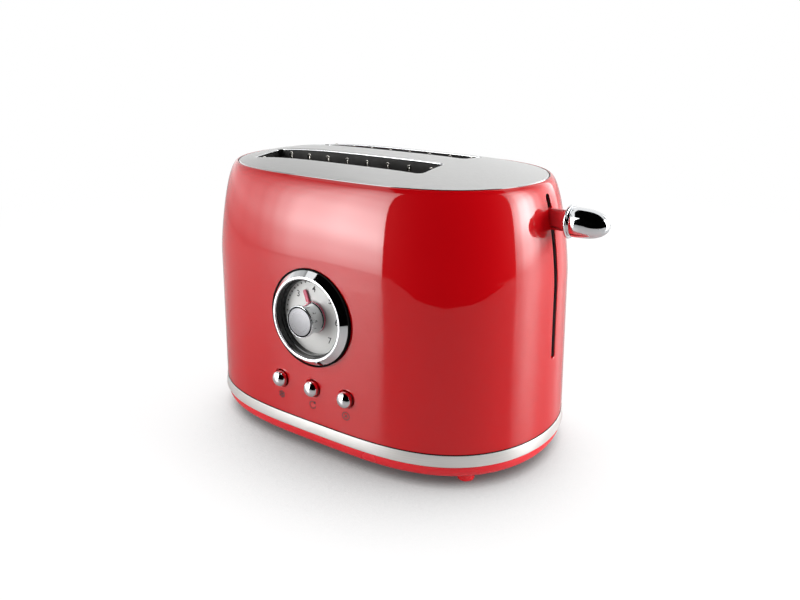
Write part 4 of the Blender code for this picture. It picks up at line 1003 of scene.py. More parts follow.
MICA = pressed_mica()
RIBBON = fired_ribbon()
ALUMINISED = aluminised_sheet()
dress(MICA, "heater_board_front", "heater_board_middle", "heater_board_rear")
dress(ALUMINISED, "reflector_front", "reflector_rear", "end_plate_left", "end_plate_right")


def make_ribbon(place):
    low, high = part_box("heater_board_" + place)
    left = low.x + RIBBON_END_MARGIN
    right = high.x - RIBBON_END_MARGIN
    near = low.y
    far = high.y
    turns = int((high.z - low.z - 2 * RIBBON_MARGIN) / RIBBON_PITCH)
    parts = []
    half = RIBBON_WIDTH / 2

    def strip(start, end, outward):
        """One straight of the ribbon, lying on a face of the board."""
        back = outward * RIBBON_THICKNESS
        points = []
        for point in (start, end):
            up = Vector((0, 0, half))
            points += [point - up, point + up, point + up + back, point - up + back]
        faces = [(3, 2, 6, 7), (0, 3, 7, 4), (2, 1, 5, 6), (1, 0, 4, 5)]
        parts.append((points, faces))

    for turn in range(turns):
        z = low.z + RIBBON_MARGIN + RIBBON_PITCH * turn
        after = z + RIBBON_PITCH
        strip(Vector((left, near, z)), Vector((right, near, z)), Vector((0, -1, 0)))
        if turn < turns - 1:
            strip(Vector((right, far, z)), Vector((left, far, after)), Vector((0, 1, 0)))
    points, faces = gathered(parts)
    mesh = new_mesh("heater_ribbon_" + place, points, faces)
    show("heater_ribbon_" + place, mesh, [RIBBON], "housing", ())


for board in ("front", "middle", "rear"):
    make_ribbon(board)


# Bread lifters. Toothed strips of nickelled sheet, one in each slot, carried by the carriage.
dress(NICKELLED_WIRE, "lifter_front", "lifter_rear")


# Trim band. A rolled strip of bright stainless steel between body and base. It flares a little
# towards its foot, and both its edges are rolled in; in each joint a thin black line of painted
# shade parts it from the red pieces.
BAND_FLARE = 0.0012
BAND_LIP = 0.0003
BAND_GAP = 0.0003
BAND_ROUND = 0.0009


def rounded(corners, closed=True, steps=FILLET_STEPS):
    """Outline through corners, each given as (across, up, radius) and rounded by its radius."""
    points = []
    last = len(corners) - 1
    for index, (x, y, radius) in enumerate(corners):
        here = Vector((x, y))
        if radius == 0 or (not closed and index in (0, last)):
            points.append(here)
            continue
        before = (Vector(corners[index - 1][:2]) - here).normalized()
        after = (Vector(corners[(index + 1) % len(corners)][:2]) - here).normalized()
        half = before.angle(after) / 2
        centre = here + (before + after).normalized() * radius / math.sin(half)
        first = here + before * radius / math.tan(half) - centre
        second = here + after * radius / math.tan(half) - centre
        start = math.atan2(first.y, first.x)
        sweep = (math.atan2(second.y, second.x) - start + math.pi) % math.tau - math.pi
        for step in range(steps + 1):
            angle = start + sweep * step / steps
            points.append(centre + radius * Vector((math.cos(angle), math.sin(angle))))
    return points


def painted_shade_black():
    """Painted shade: deep matt black with a faint mottle, laid in gaps and edges where shade and dark reflections
    fall.
    """
    made, tree, shader = start_finish("painted_shade_black", {"Specular IOR Level": 0.05})
    place = add(tree, "TexCoord")
    dust = add(tree, "TexNoise", {"Scale": 700.0, "Detail": 3.0}, {"Vector": (place, "Object")})
    tone = add(tree, "ValToRGB", None, {"Fac": (dust, "Fac")})
    tone.color_ramp.elements[0].color = linear("#060606")
    tone.color_ramp.elements[1].color = linear("#0E0E0E")
    tree.links.new(tone.outputs["Color"], shader.inputs["Base Color"])
    rough = add(tree, "MapRange", {"To Min": 0.6, "To Max": 0.8}, {"Value": (dust, "Fac")})
    tree.links.new(rough.outputs["Result"], shader.inputs["Roughness"])
    return made


PAINTED_SHADE_BLACK = painted_shade_black()
# Painted shade lines in the joints over and under the band: their inset, tuck and rise.
SHADE_LINE_INSET = -0.00010
SHADE_LINE_TUCK = 0.00008
SHADE_LINE_RISE = 0.00040


def make_band_shade_lines():
    """Painted shade: thin black bands in the joints over and under the band, where the gaps lie in shadow."""
    parts = []
    for low, high in (
        (band_high.z - SHADE_LINE_TUCK, SHELL_BOTTOM + SHADE_LINE_RISE),
        (band_low.z - BAND_GAP, band_low.z + BAND_GAP),
    ):
        rings = [body_ring(*place) for place in (
            (SHADE_LINE_INSET, low), (SHADE_LINE_INSET, high), (SHELL_WALL, high), (SHELL_WALL, low),
        )]
        parts.append(skin(rings, loop=True))
    points, faces = gathered(parts)
    show("band_shade_lines", new_mesh("band_shade_lines", points, faces), [PAINTED_SHADE_BLACK], "housing", ())


make_band_shade_lines()


def make_trim_band():
    low = band_low.z
    high = band_high.z
    profile = rounded([
        (-BAND_FLARE, low, BAND_ROUND),
        (-BAND_LIP, high, BAND_ROUND / 2),
        (SHELL_WALL, high, 0),
        (SHELL_WALL, low, 0),
    ])
    points, faces = skin([body_ring(inset, height) for inset, height in profile], loop=True)
    mesh = new_mesh("trim_band_strip", points, faces)
    layer = mesh.uv_layers.new(name="grain")
    for loop in mesh.loops:
        place = mesh.vertices[loop.vertex_index].co - MIDDLE
        layer.data[loop.index].uv = (math.atan2(place.y, place.x), place.z * 8)
    finish = brushed_stainless("bright_stainless_strip", ("#DADAD7", "#E6E6E3"), 0.30, (0, 1), 0.4)
    show("trim_band_strip", mesh, [finish], "housing", ["trim_band"])


make_trim_band()


# Base pan. Moulded in red thermoplastic, glossy where it shows: a curved skirt that tucks in
# under the band, a floor with a hole for the cord gland, and the opening at the back for the crumb tray.
SKIRT_TUCK = 0.0042
SKIRT_WALL = 0.0022
SKIRT_RINGS = 12
BASE_FLOOR = 0.0020
TRAY_GAP = 0.0003


def moulded_red(name, roughness=0.22):
    """Gloss moulding in a red that is a little pinker and flatter than the lacquer."""
    grit = 0.0006
    made, tree, shader = start_finish(name, {"IOR": 1.53, "Specular IOR Level": 0.5})
    place = add(tree, "TexCoord")
    cloud = add(tree, "TexNoise", {"Scale": 30.0, "Detail": 2.0}, {"Vector": (place, "Object")})
    tone = add(tree, "ValToRGB", None, {"Fac": (cloud, "Fac")})
    tone.color_ramp.elements[0].color = linear("#EE1A26")
    tone.color_ramp.elements[1].color = linear("#F2202E")
    tree.links.new(tone.outputs["Color"], shader.inputs["Base Color"])
    grain = add(tree, "TexNoise", {"Scale": 1 / grit, "Detail": 1.0}, {"Vector": (place, "Object")})
    rough = add(tree, "MapRange", {"To Min": roughness, "To Max": roughness + 0.08}, {"Value": (cloud, "Fac")})
    tree.links.new(rough.outputs["Result"], shader.inputs["Roughness"])
    bump = add(tree, "Bump", {"Strength": 0.05, "Distance": 0.00003}, {"Height": (grain, "Fac")})
    tree.links.new(bump.outputs["Normal"], shader.inputs["Normal"])
    return made


MOULDED_RED = moulded_red("moulded_red_gloss")
base_low, base_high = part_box("base_pan")
tray_low, tray_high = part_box("crumb_tray")
grip_low, grip_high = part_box("tray_grip")


def skirt_profile(inset):
    """Up the curved skirt: steep at the band, turning in under the base."""
    height = band_low.z - BAND_GAP - base_low.z
    places = []
    for step in range(SKIRT_RINGS + 1):
        angle = math.pi / 2 * step / SKIRT_RINGS
        places.append((SKIRT_TUCK * (1 - math.sin(angle)) + inset, base_low.z + height * (1 - math.cos(angle))))
    return places


def block(name, low, high):
    """A plain box that cuts another shape."""
    ring = [(low.x, low.y), (high.x, low.y), (high.x, high.y), (low.x, high.y)]
    return prism(name, [[Vector((*place, height)) for place in ring] for height in (low.z, high.z)])


def make_base_pan():
    floor_top = tray_low.z - TRAY_GAP
    profile = skirt_profile(0)
    step_in = SHELL_WALL + BAND_GAP
    profile += [(step_in, band_low.z - BAND_GAP), (step_in, base_high.z)]
    profile += [(step_in + 0.0012, base_high.z), (step_in + 0.0012, band_low.z)]
    profile += [place for place in reversed(skirt_profile(SKIRT_WALL)) if place[1] > floor_top + 0.0002]
    profile += [(SKIRT_TUCK + SKIRT_WALL, floor_top)]
    rings = [body_ring(*place) for place in profile]
    points, faces = skin(rings)
    count = len(ANGLES)
    faces.append(tuple(range(count)))
    faces.append(tuple(range(len(points) - count, len(points))))
    mesh = new_mesh("base_moulding", points, faces)
    opening_low = Vector((grip_low.x - TRAY_GAP, MIDDLE.y, floor_top - 0.0002))
    opening_high = Vector((grip_high.x + TRAY_GAP, band_high.y + 0.004, grip_high.z + TRAY_GAP))
    gland_low, gland_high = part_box("cord_gland")
    centre = (gland_low + gland_high) / 2
    radius = (gland_high.x - gland_low.x) / 2 - 0.0030
    hole = prism("gland_hole", [
        [
            Vector((centre.x + point.x, centre.y + point.y, height))
            for point in round_outline(radius, 48)
        ]
        for height in (base_low.z - 0.003, floor_top + 0.003)
    ])
    mesh = cut_away(mesh, [block("tray_opening", opening_low, opening_high), hole])
    mesh.shade_smooth()
    mesh.set_sharp_from_angle(angle=math.radians(38))
    pan = show("base_moulding", mesh, [MOULDED_RED], "housing", ["base_pan"])
    even_shading(pan)


make_base_pan()


# Feet. Four turned-down pads moulded in the red of the base, with a rounded tread.
FOOT_RADIUS = 0.0056
FOOT_ROUND = 0.0010
FOOT_SIDES = 48


def turned(profile, sides, closed=True):
    """Points and faces of a profile, given as (radius, height), turned about the Z axis."""
    rings = []
    for side in range(sides):
        angle = math.tau * side / sides
        rings.append([Vector((point.x * math.cos(angle), point.x * math.sin(angle), point.y)) for point in profile])
    return skin(rings, closed_rings=closed, loop=True)


def placed(shape, matrix):
    """A shape's points moved by a matrix."""
    points, faces = shape
    return [matrix @ point for point in points], faces


for corner in ("front_left", "front_right", "rear_left", "rear_right"):
    low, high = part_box("foot_" + corner)
    centre = (low + high) / 2
    pad = rounded([
        (0, low.z, 0),
        (FOOT_RADIUS, low.z, FOOT_ROUND),
        ((high.x - low.x) / 2, high.z, 0),
        (0, high.z, 0),
    ], closed=False)
    points, faces = placed(turned(pad, FOOT_SIDES, closed=False), Matrix.Translation((centre.x, centre.y, 0)))
    show("foot_pad_" + corner, new_mesh("foot_pad_" + corner, points, faces), [MOULDED_RED], "housing",
         ["foot_" + corner])


# Cord gland. Black nylon, snapped into the floor of the base at the back.
def black_nylon():
    """Moulded nylon: near-black, satin, with a fine even grain."""
    grit = 0.0008
    made, tree, shader = start_finish("black_nylon", {"Specular IOR Level": 0.45})
    place = add(tree, "TexCoord")
    grain = add(tree, "TexNoise", {"Scale": 1 / grit, "Detail": 2.0}, {"Vector": (place, "Object")})
    tone = add(tree, "ValToRGB", None, {"Fac": (grain, "Fac")})
    tone.color_ramp.elements[0].color = linear("#1B1B1C")
    tone.color_ramp.elements[1].color = linear("#262628")
    tree.links.new(tone.outputs["Color"], shader.inputs["Base Color"])
    rough = add(tree, "MapRange", {"To Min": 0.4, "To Max": 0.55}, {"Value": (grain, "Fac")})
    tree.links.new(rough.outputs["Result"], shader.inputs["Roughness"])
    bump = add(tree, "Bump", {"Strength": 0.15, "Distance": 0.00004}, {"Height": (grain, "Fac")})
    tree.links.new(bump.outputs["Normal"], shader.inputs["Normal"])
    return made


BLACK_NYLON = black_nylon()
dress(BLACK_NYLON, "cord_gland")


# Crumb tray. Aluminised sheet folded up at its four sides, with the red grip that closes its
# opening in the skirt; the grip's lip is moulded with it.
dress(ALUMINISED, "crumb_tray")
dress(MOULDED_RED, "tray_grip")


# Browning dial. A chromed bezel with a thin black ring of painted shade round its foot: a broad
# cone, a rolled lip and a deep throat. At the bottom of the throat lies the printed face.
DIAL_SIDES = 128
BEZEL_RADIUS = 0.0333
SHADE_RING_WIDTH = 0.0008
SHADE_RING_HEIGHT = 0.0017
BEZEL_CONE_WIDTH = 0.0049
BEZEL_LIP_WIDTH = 0.0018
BEZEL_LIP_HEIGHT = 0.0055
BEZEL_EDGE = 0.0012
BEZEL_INSERT = 0.0085
FACE_DEPTH = 0.0031
FACE_THICKNESS = 0.0012
FACE_GAP = 0.0003


def bright_chrome(name="bright_chrome"):
    """Chrome plate on polished metal: a near-perfect mirror, faintly cool, with a trace of haze."""
    made, tree, shader = start_finish(name, {"Metallic": 1.0, "Base Color": linear("#E6E8EA")})
    place = add(tree, "TexCoord")
    haze = add(tree, "TexNoise", {"Scale": 180.0, "Detail": 3.0}, {"Vector": (place, "Object")})
    rough = add(tree, "MapRange", {"To Min": 0.02, "To Max": 0.07}, {"Value": (haze, "Fac")})
    tree.links.new(rough.outputs["Result"], shader.inputs["Roughness"])
    return made


CHROME = bright_chrome()
lip_outer = BEZEL_RADIUS - BEZEL_CONE_WIDTH
lip_inner = lip_outer - BEZEL_LIP_WIDTH


def make_bezel():
    rim = BEZEL_RADIUS - SHADE_RING_WIDTH
    # Painted shade: a thin black ring round the bezel's foot, for the dark outline where it meets the body.
    shade_ring = rounded([
        (BEZEL_RADIUS, -LIP_DEPTH, 0),
        (BEZEL_RADIUS, SHADE_RING_HEIGHT, 0.0003),
        (rim - 0.0002, SHADE_RING_HEIGHT, 0),
        (rim - 0.0002, -LIP_DEPTH, 0),
    ])
    points, faces = placed(turned(shade_ring, DIAL_SIDES), PANEL)
    show("bezel_shade_ring", new_mesh("bezel_shade_ring", points, faces), [PAINTED_SHADE_BLACK], "housing", ())
    chrome = rounded([
        (rim, -LIP_DEPTH, 0),
        (rim, BEZEL_EDGE, 0.0004),
        (lip_outer, BEZEL_LIP_HEIGHT, 0.0007),
        (lip_inner, BEZEL_LIP_HEIGHT, 0.0008),
        (lip_inner, -FACE_DEPTH - FACE_THICKNESS - FACE_GAP, 0),
        (lip_inner - 0.0030, -FACE_DEPTH - FACE_THICKNESS - FACE_GAP, 0),
        (lip_inner - 0.0030, -BEZEL_INSERT, 0),
        (rim, -BEZEL_INSERT, 0),
    ], steps=8)
    points, faces = placed(turned(chrome, DIAL_SIDES), PANEL)
    bezel = show("bezel_chromed", new_mesh("bezel_chromed", points, faces), [CHROME], "housing", ["dial_bezel"])
    even_shading(bezel)


make_bezel()


# Dial cup. A black glossy ring of painted shade lining the throat between the bezel's lip and the face.
CUP_WALL = 0.0007
CUP_DROP = 0.0011


def throat_shade_black():
    """Painted shade for the throat: near-black with a gloss, so that soft reflections show its steps."""
    made, tree, shader = start_finish("throat_painted_shade", {"Specular IOR Level": 0.35})
    place = add(tree, "TexCoord")
    haze = add(tree, "TexNoise", {"Scale": 300.0, "Detail": 2.0}, {"Vector": (place, "Object")})
    tone = add(tree, "ValToRGB", None, {"Fac": (haze, "Fac")})
    tone.color_ramp.elements[0].color = linear("#101011")
    tone.color_ramp.elements[1].color = linear("#1A1A1B")
    tree.links.new(tone.outputs["Color"], shader.inputs["Base Color"])
    rough = add(tree, "MapRange", {"To Min": 0.12, "To Max": 0.2}, {"Value": (haze, "Fac")})
    tree.links.new(rough.outputs["Result"], shader.inputs["Roughness"])
    return made


def make_throat_shade():
    floor = -FACE_DEPTH + 0.00005
    top = BEZEL_LIP_HEIGHT - CUP_DROP
    step = (top + floor) / 2
    # Painted shade: the black lining of the throat, stepped down to the face.
    cup = rounded([
        (lip_inner, top, 0),
        (lip_inner - CUP_WALL, top - 0.0004, 0.0002),
        (lip_inner - CUP_WALL, step, 0.0002),
        (lip_inner - 2 * CUP_WALL, step - 0.0003, 0.0002),
        (lip_inner - 2 * CUP_WALL, floor, 0),
        (lip_inner, floor, 0),
    ])
    points, faces = placed(turned(cup, DIAL_SIDES), PANEL)
    piece = show("dial_throat_shade", new_mesh("dial_throat_shade", points, faces), [throat_shade_black()], "housing", ())
    even_shading(piece)


make_throat_shade()


# Dial face. Aluminium disc with a fine satin finish, screen-printed in dark grey with the numbers
# of the browning scale and a ring of dots.
FACE_BORE = 0.0040
FACE_ROUND = 0.0002
PRINT_THICKNESS = 0.00004
FIGURE_HEIGHT = 0.0044
FIGURE_BOLDNESS = 0.008
FIGURE_RADIUS = 0.0192
FIGURES = ("1", "2", "3", "4", "5", "6", "7")
SCALE_SWEEP = math.radians(270)
DOT_RADIUS = 0.00058
DOT_CIRCLE = 0.0236
DOTS = 31


def satin_aluminium():
    """Anodised aluminium with a turned satin finish: pale, even, faintly ringed."""
    made, tree, shader = start_finish("satin_aluminium", {"Metallic": 0.25})
    place = add(tree, "TexCoord")
    middle = add(tree, "VectorMath", {"operation": "SUBTRACT", 1: PANEL_MIDDLE}, {0: (place, "Object")})
    radius = add(tree, "VectorMath", {"operation": "LENGTH"}, {0: (middle, "Vector")})
    rings = add(tree, "TexNoise", {"noise_dimensions": "1D", "Scale": 2600.0, "Detail": 2.0}, {"W": (radius, "Value")})
    tone = add(tree, "ValToRGB", None, {"Fac": (rings, "Fac")})
    tone.color_ramp.elements[0].color = linear("#CECECC")
    tone.color_ramp.elements[1].color = linear("#DADAD8")
    tree.links.new(tone.outputs["Color"], shader.inputs["Base Color"])
    rough = add(tree, "MapRange", {"To Min": 0.38, "To Max": 0.5}, {"Value": (rings, "Fac")})
    tree.links.new(rough.outputs["Result"], shader.inputs["Roughness"])
    return made


def printing_ink(name, code):
    """Screen-printed ink: flat colour with slightly uneven cover."""
    made, tree, shader = start_finish(name, {"Roughness": 0.5})
    place = add(tree, "TexCoord")
    cover = add(tree, "TexNoise", {"Scale": 2500.0, "Detail": 2.0}, {"Vector": (place, "Object")})
    tone = add(tree, "ValToRGB", None, {"Fac": (cover, "Fac")})
    tone.color_ramp.elements[0].color = linear(code[0])
    tone.color_ramp.elements[1].color = linear(code[1])
    tree.links.new(tone.outputs["Color"], shader.inputs["Base Color"])
    return made


SATIN_ALUMINIUM = satin_aluminium()
GREY_INK = printing_ink("dark_grey_ink", ("#141416", "#222224"))


def figure_shape(text, height):
    """Points and faces of a flat printed figure, about its own middle."""
    curve = bpy.data.curves.new("figure", "FONT")
    curve.body = text
    curve.offset = FIGURE_BOLDNESS
    carrier = bpy.data.objects.new("figure", curve)
    bpy.context.scene.collection.objects.link(carrier)
    bpy.context.view_layer.update()
    mesh = carrier.to_mesh()
    places = [vertex.co.copy() for vertex in mesh.vertices]
    faces = [tuple(polygon.vertices) for polygon in mesh.polygons]
    bpy.data.objects.remove(carrier, do_unlink=True)
    low = Vector((min(place.x for place in places), min(place.y for place in places), 0))
    high = Vector((max(place.x for place in places), max(place.y for place in places), 0))
    size = height / (high.y - low.y)
    return [(place - (low + high) / 2) * size for place in places], faces


def make_dial_face():
    face = rounded([
        (lip_inner - FACE_GAP, -FACE_DEPTH, FACE_ROUND),
        (lip_inner - FACE_GAP, -FACE_DEPTH - FACE_THICKNESS, 0),
        (FACE_BORE, -FACE_DEPTH - FACE_THICKNESS, 0),
        (FACE_BORE, -FACE_DEPTH, 0),
    ])
    points, faces = placed(turned(face, DIAL_SIDES), PANEL)
    disc = show("dial_face_disc", new_mesh("dial_face_disc", points, faces), [SATIN_ALUMINIUM], "housing",
                ["dial_face"])
    even_shading(disc)
    parts = []
    level = -FACE_DEPTH + PRINT_THICKNESS
    for number, text in enumerate(FIGURES):
        turn = SCALE_SWEEP * (number / (len(FIGURES) - 1) - 0.5)
        centre = Matrix.Translation((FIGURE_RADIUS * math.sin(turn), FIGURE_RADIUS * math.cos(turn), level))
        parts.append(placed(figure_shape(text, FIGURE_HEIGHT), PANEL @ centre))
    for number in range(DOTS):
        turn = SCALE_SWEEP * (number / (DOTS - 1) - 0.5)
        centre = Vector((DOT_CIRCLE * math.sin(turn), DOT_CIRCLE * math.cos(turn), level))
        ring = [PANEL @ (centre + Vector((*point, 0))) for point in round_outline(DOT_RADIUS, 12)]
        parts.append((ring, [tuple(range(len(ring)))]))
    points, faces = gathered(parts)
    mesh = bpy.data.meshes.new("dial_print")
    mesh.from_pydata([tuple(point) for point in points], [], faces)
    show("dial_print", mesh, [GREY_INK], "housing", ())


make_dial_face()


# Pointer. Moulded in translucent pink-red, a hub disc and one arm, pressed on the shaft behind
# the knob. The arm throws a small shadow on the face.
POINTER_RIM = 0.0107
POINTER_REACH = 0.0190
POINTER_WIDTH = 0.0028
POINTER_THICKNESS = 0.0012
POINTER_LIFT = 0.0006
POINTER_ANGLE = math.radians(22)
POINTER_BORE = 0.0033
POINTER_ROUND = 0.0003


def pointer_red():
    """Clear-tinted acrylic, pinker than the lacquer, with a soft glow inside and a gloss skin."""
    made, tree, shader = start_finish("tinted_acrylic", {
        "Roughness": 0.2,
        "Subsurface Weight": 0.15,
        "Subsurface Radius": (0.002, 0.0004, 0.0004),
        "Coat Weight": 0.5,
        "Coat Roughness": 0.08,
    })
    place = add(tree, "TexCoord")
    cloud = add(tree, "TexNoise", {"Scale": 90.0, "Detail": 2.0}, {"Vector": (place, "Object")})
    tone = add(tree, "ValToRGB", None, {"Fac": (cloud, "Fac")})
    tone.color_ramp.elements[0].color = linear("#C8405A")
    tone.color_ramp.elements[1].color = linear("#DA5C76")
    tree.links.new(tone.outputs["Color"], shader.inputs["Base Color"])
    return made


def flat_piece(name, outline, low, high, edge, matrix, hole=None):
    """A flat piece with rounded rims, from its outline and an optional round hole."""
    rings = []
    for step in range(4):
        angle = math.pi / 2 * step / 3
        inset = edge * (1 - math.sin(angle))
        rings.append((inset, low + edge * (1 - math.cos(angle))))
    rings += [(inset, low + high - height) for inset, height in reversed(rings)]
    sections = []
    for inset, height in rings:
        sections.append([Vector((*point, height)) for point in grown(outline, -inset)])
    points, faces = skin(sections)
    count = len(outline)
    faces.append(tuple(reversed(range(count))))
    faces.append(tuple(range(len(points) - count, len(points))))
    mesh = new_mesh(name, points, faces, math.radians(50))
    if hole:
        cutter = prism("bore", [
            [Vector((*point, height)) for point in round_outline(hole, 40)] for height in (low - 0.002, high + 0.002)
        ])
        mesh = cut_away(mesh, [cutter])
        mesh.shade_smooth()
        mesh.set_sharp_from_angle(angle=math.radians(50))
    mesh.transform(matrix)
    return mesh


def make_pointer():
    half = POINTER_WIDTH / 2
    edge = math.asin(half / POINTER_RIM)
    outline = []
    for step in range(9):
        angle = math.pi * step / 8
        outline.append(Vector((half * math.cos(angle), POINTER_REACH - half + half * math.sin(angle))))
    for step in range(73):
        angle = math.pi / 2 + edge + (math.tau - 2 * edge) * step / 72
        outline.append(POINTER_RIM * Vector((math.cos(angle), math.sin(angle))))
    low = -FACE_DEPTH + POINTER_LIFT
    matrix = PANEL @ Matrix.Rotation(POINTER_ANGLE, 4, "Z")
    mesh = flat_piece("pointer_moulding", outline, low, low + POINTER_THICKNESS, POINTER_ROUND, matrix, POINTER_BORE)
    pointer = show("pointer_moulding", mesh, [pointer_red()], "dial", ["dial_pointer"])
    even_shading(pointer)


make_pointer()


# Control knob. Turned from brass bar and chromed: a waisted grip with a shallow ring at its
# front, and a satin disc let into its end. A black ring round the disc is painted dark
# reflection and shade.
KNOB_RADIUS = 0.0108
KNOB_WAIST = 0.0102
KNOB_LENGTH = 0.0121
KNOB_RING = 0.0026
KNOB_ROUND = 0.0006
KNOB_DISC_RADIUS = 0.0093
KNOB_SHADE_LINE = 0.0010
KNOB_DISH = 0.0005


def spun_disc():
    """Aluminium disc, spun satin: mid grey, with fine turned rings that spread its gleam."""
    made, tree, shader = start_finish("spun_aluminium_disc", {"Metallic": 1.0})
    place = add(tree, "TexCoord")
    middle = add(tree, "VectorMath", {"operation": "SUBTRACT", 1: PANEL_MIDDLE}, {0: (place, "Object")})
    radius = add(tree, "VectorMath", {"operation": "LENGTH"}, {0: (middle, "Vector")})
    rings = add(tree, "TexNoise", {"noise_dimensions": "1D", "Scale": 2600.0, "Detail": 2.0}, {"W": (radius, "Value")})
    tone = add(tree, "ValToRGB", None, {"Fac": (rings, "Fac")})
    tone.color_ramp.elements[0].color = linear("#7C7C7E")
    tone.color_ramp.elements[1].color = linear("#949497")
    tree.links.new(tone.outputs["Color"], shader.inputs["Base Color"])
    rough = add(tree, "MapRange", {"To Min": 0.24, "To Max": 0.36}, {"Value": (rings, "Fac")})
    tree.links.new(rough.outputs["Result"], shader.inputs["Roughness"])
    bump = add(tree, "Bump", {"Strength": 0.1, "Distance": 0.00003}, {"Height": (rings, "Fac")})
    tree.links.new(bump.outputs["Normal"], shader.inputs["Normal"])
    return made


def make_control_knob():
    back = -FACE_DEPTH + POINTER_LIFT + POINTER_THICKNESS + FACE_GAP
    front = back + KNOB_LENGTH
    profile = rounded([
        (0, front - KNOB_DISH, 0),
        (KNOB_DISC_RADIUS + KNOB_SHADE_LINE, front - KNOB_DISH, 0.0001),
        (KNOB_DISC_RADIUS + KNOB_SHADE_LINE, front - 0.0001, 0.0001),
        (KNOB_RADIUS, front, KNOB_ROUND),
        (KNOB_RADIUS, front - KNOB_RING, KNOB_ROUND),
        (KNOB_WAIST, front - KNOB_RING - 0.0008, 0.0004),
        (KNOB_WAIST, back + 0.0012, 0.0004),
        (KNOB_RADIUS, back, 0.0002),
        (POINTER_BORE, back, 0),
    ], closed=False)
    points, faces = placed(turned(profile, DIAL_SIDES, closed=False), PANEL)
    knob = show("control_knob_turned", new_mesh("control_knob_turned", points, faces), [CHROME], "dial",
                ["control_knob"])
    even_shading(knob)
    disc = rounded([
        (0, front - KNOB_DISH + 0.0004, 0),
        (KNOB_DISC_RADIUS, front - KNOB_DISH + 0.0004, 0.0001),
        (KNOB_DISC_RADIUS, front - KNOB_DISH, 0),
    ], closed=False)
    points, faces = placed(turned(disc, DIAL_SIDES, closed=False), PANEL)
    show("control_knob_disc", new_mesh("control_knob_disc", points, faces), [spun_disc()], "dial", ())
    # Painted dark reflection and shade: a black ring between the disc and the chrome.
    line = rounded([
        (KNOB_DISC_RADIUS - 0.0001, front - KNOB_DISH, 0),
        (KNOB_DISC_RADIUS - 0.0001, front - 0.0001, 0),
        (KNOB_DISC_RADIUS + KNOB_SHADE_LINE, front - 0.0001, 0),
        (KNOB_DISC_RADIUS + KNOB_SHADE_LINE, front - KNOB_DISH, 0),
    ])
    points, faces = placed(turned(line, DIAL_SIDES), PANEL)
    show("control_knob_shade_ring", new_mesh("control_knob_shade_ring", points, faces), [PAINTED_SHADE_BLACK], "dial", ())


make_control_knob()
dress(NICKELLED_WIRE, "dial_shaft")


# Push buttons. Chromed caps with a domed top, each in its drawn hole; behind them a red guide
# with three tubes, black plungers and switches.
BUTTON_RADIUS = 0.0056
BUTTON_DOME = 0.0036
BUTTON_SIDES = 64
DOME_RINGS = 12
CAP_EDGE = 0.0003


def make_button(name):
    """A cap along its own axis, from the CAD cap's box."""
    place = button_place(name)
    wall = PANEL.inverted() @ wall_at(place)
    low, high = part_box("button_" + name)
    corners = [PANEL.inverted() @ Vector((x, y, z)) for x in (low.x, high.x) for y in (low.y, high.y)
               for z in (low.z, high.z)]
    tilt = BUTTON_RADIUS * abs(PANEL_NORMAL.z) * 2
    front = max(corner.z for corner in corners) - tilt
    back = min(corner.z for corner in corners) + tilt
    profile = []
    for step in range(DOME_RINGS + 1):
        angle = math.pi / 2 * step / DOME_RINGS
        profile.append(Vector((BUTTON_RADIUS * math.sin(angle), front - BUTTON_DOME * (1 - math.cos(angle)))))
    profile += [Vector((BUTTON_RADIUS, back)), Vector((0, back))]
    matrix = PANEL @ Matrix.Translation((place.x, place.y, 0))
    points, faces = placed(turned(profile, BUTTON_SIDES, closed=False), matrix)
    cap = show("button_cap_" + name, new_mesh("button_cap_" + name, points, faces, math.radians(50)), [CHROME],
               "button_" + name, ["button_" + name])
    return cap


for button in BUTTON_NAMES:
    make_button(button)
dress(MOULDED_RED, "button_guide")
dress(BLACK_NYLON, "plunger_defrost", "plunger_reheat", "plunger_cancel")
dress(BLACK_NYLON, "switch_defrost", "switch_reheat", "switch_cancel", "timer_unit")


# Circuit board. Green solder mask over copper tracks on glass laminate.
def solder_mask():
    """Circuit laminate: glossy green, lighter where the copper tracks run under the mask."""
    track_gap = 0.0030
    made, tree, shader = start_finish("solder_mask", {"Roughness": 0.25, "Coat Weight": 0.4, "Coat Roughness": 0.12})
    place = add(tree, "TexCoord")
    tracks = add(tree, "TexBrick", {
        "Scale": 1 / track_gap,
        "Color1": linear("#1C5A34"),
        "Color2": linear("#1F6339"),
        "Mortar": linear("#3F8E56"),
        "Mortar Size": 0.05,
    }, {"Vector": (place, "Object")})
    tree.links.new(tracks.outputs["Color"], shader.inputs["Base Color"])
    bump = add(tree, "Bump", {"Strength": 0.2, "Distance": 0.00005}, {"Height": (tracks, "Fac")})
    tree.links.new(bump.outputs["Normal"], shader.inputs["Normal"])
    return made


dress(solder_mask(), "control_board")


# Button marks. Three small pictograms screen-printed on the lacquer under the buttons, in dark
# brown: an ice crystal for thawing, an arrow round for warming again, a crossed ring for stop.
MARK_DROP = 0.0122
MARK_RADIUS = 0.0030
MARK_STROKE = 0.00066
MARK_LIFT = 0.00003
BROWN_INK = printing_ink("dark_brown_ink", ("#33060A", "#40080C"))


def stroke(start, end, width=MARK_STROKE):
    """A straight printed line as an outline of four points."""
    along = (end - start).normalized()
    across = Vector((-along.y, along.x)) * width / 2
    return [start - across, end - across, end + across, start + across]


def arc_strokes(radius, start, sweep, steps):
    """A printed arc as a row of short quads."""
    quads = []
    for step in range(steps):
        corners = []
        for number in (step, step + 1):
            angle = start + sweep * number / steps
            spoke = Vector((math.cos(angle), math.sin(angle)))
            corners.append((spoke * (radius - MARK_STROKE / 2), spoke * (radius + MARK_STROKE / 2)))
        quads.append([corners[0][0], corners[0][1], corners[1][1], corners[1][0]])
    return quads


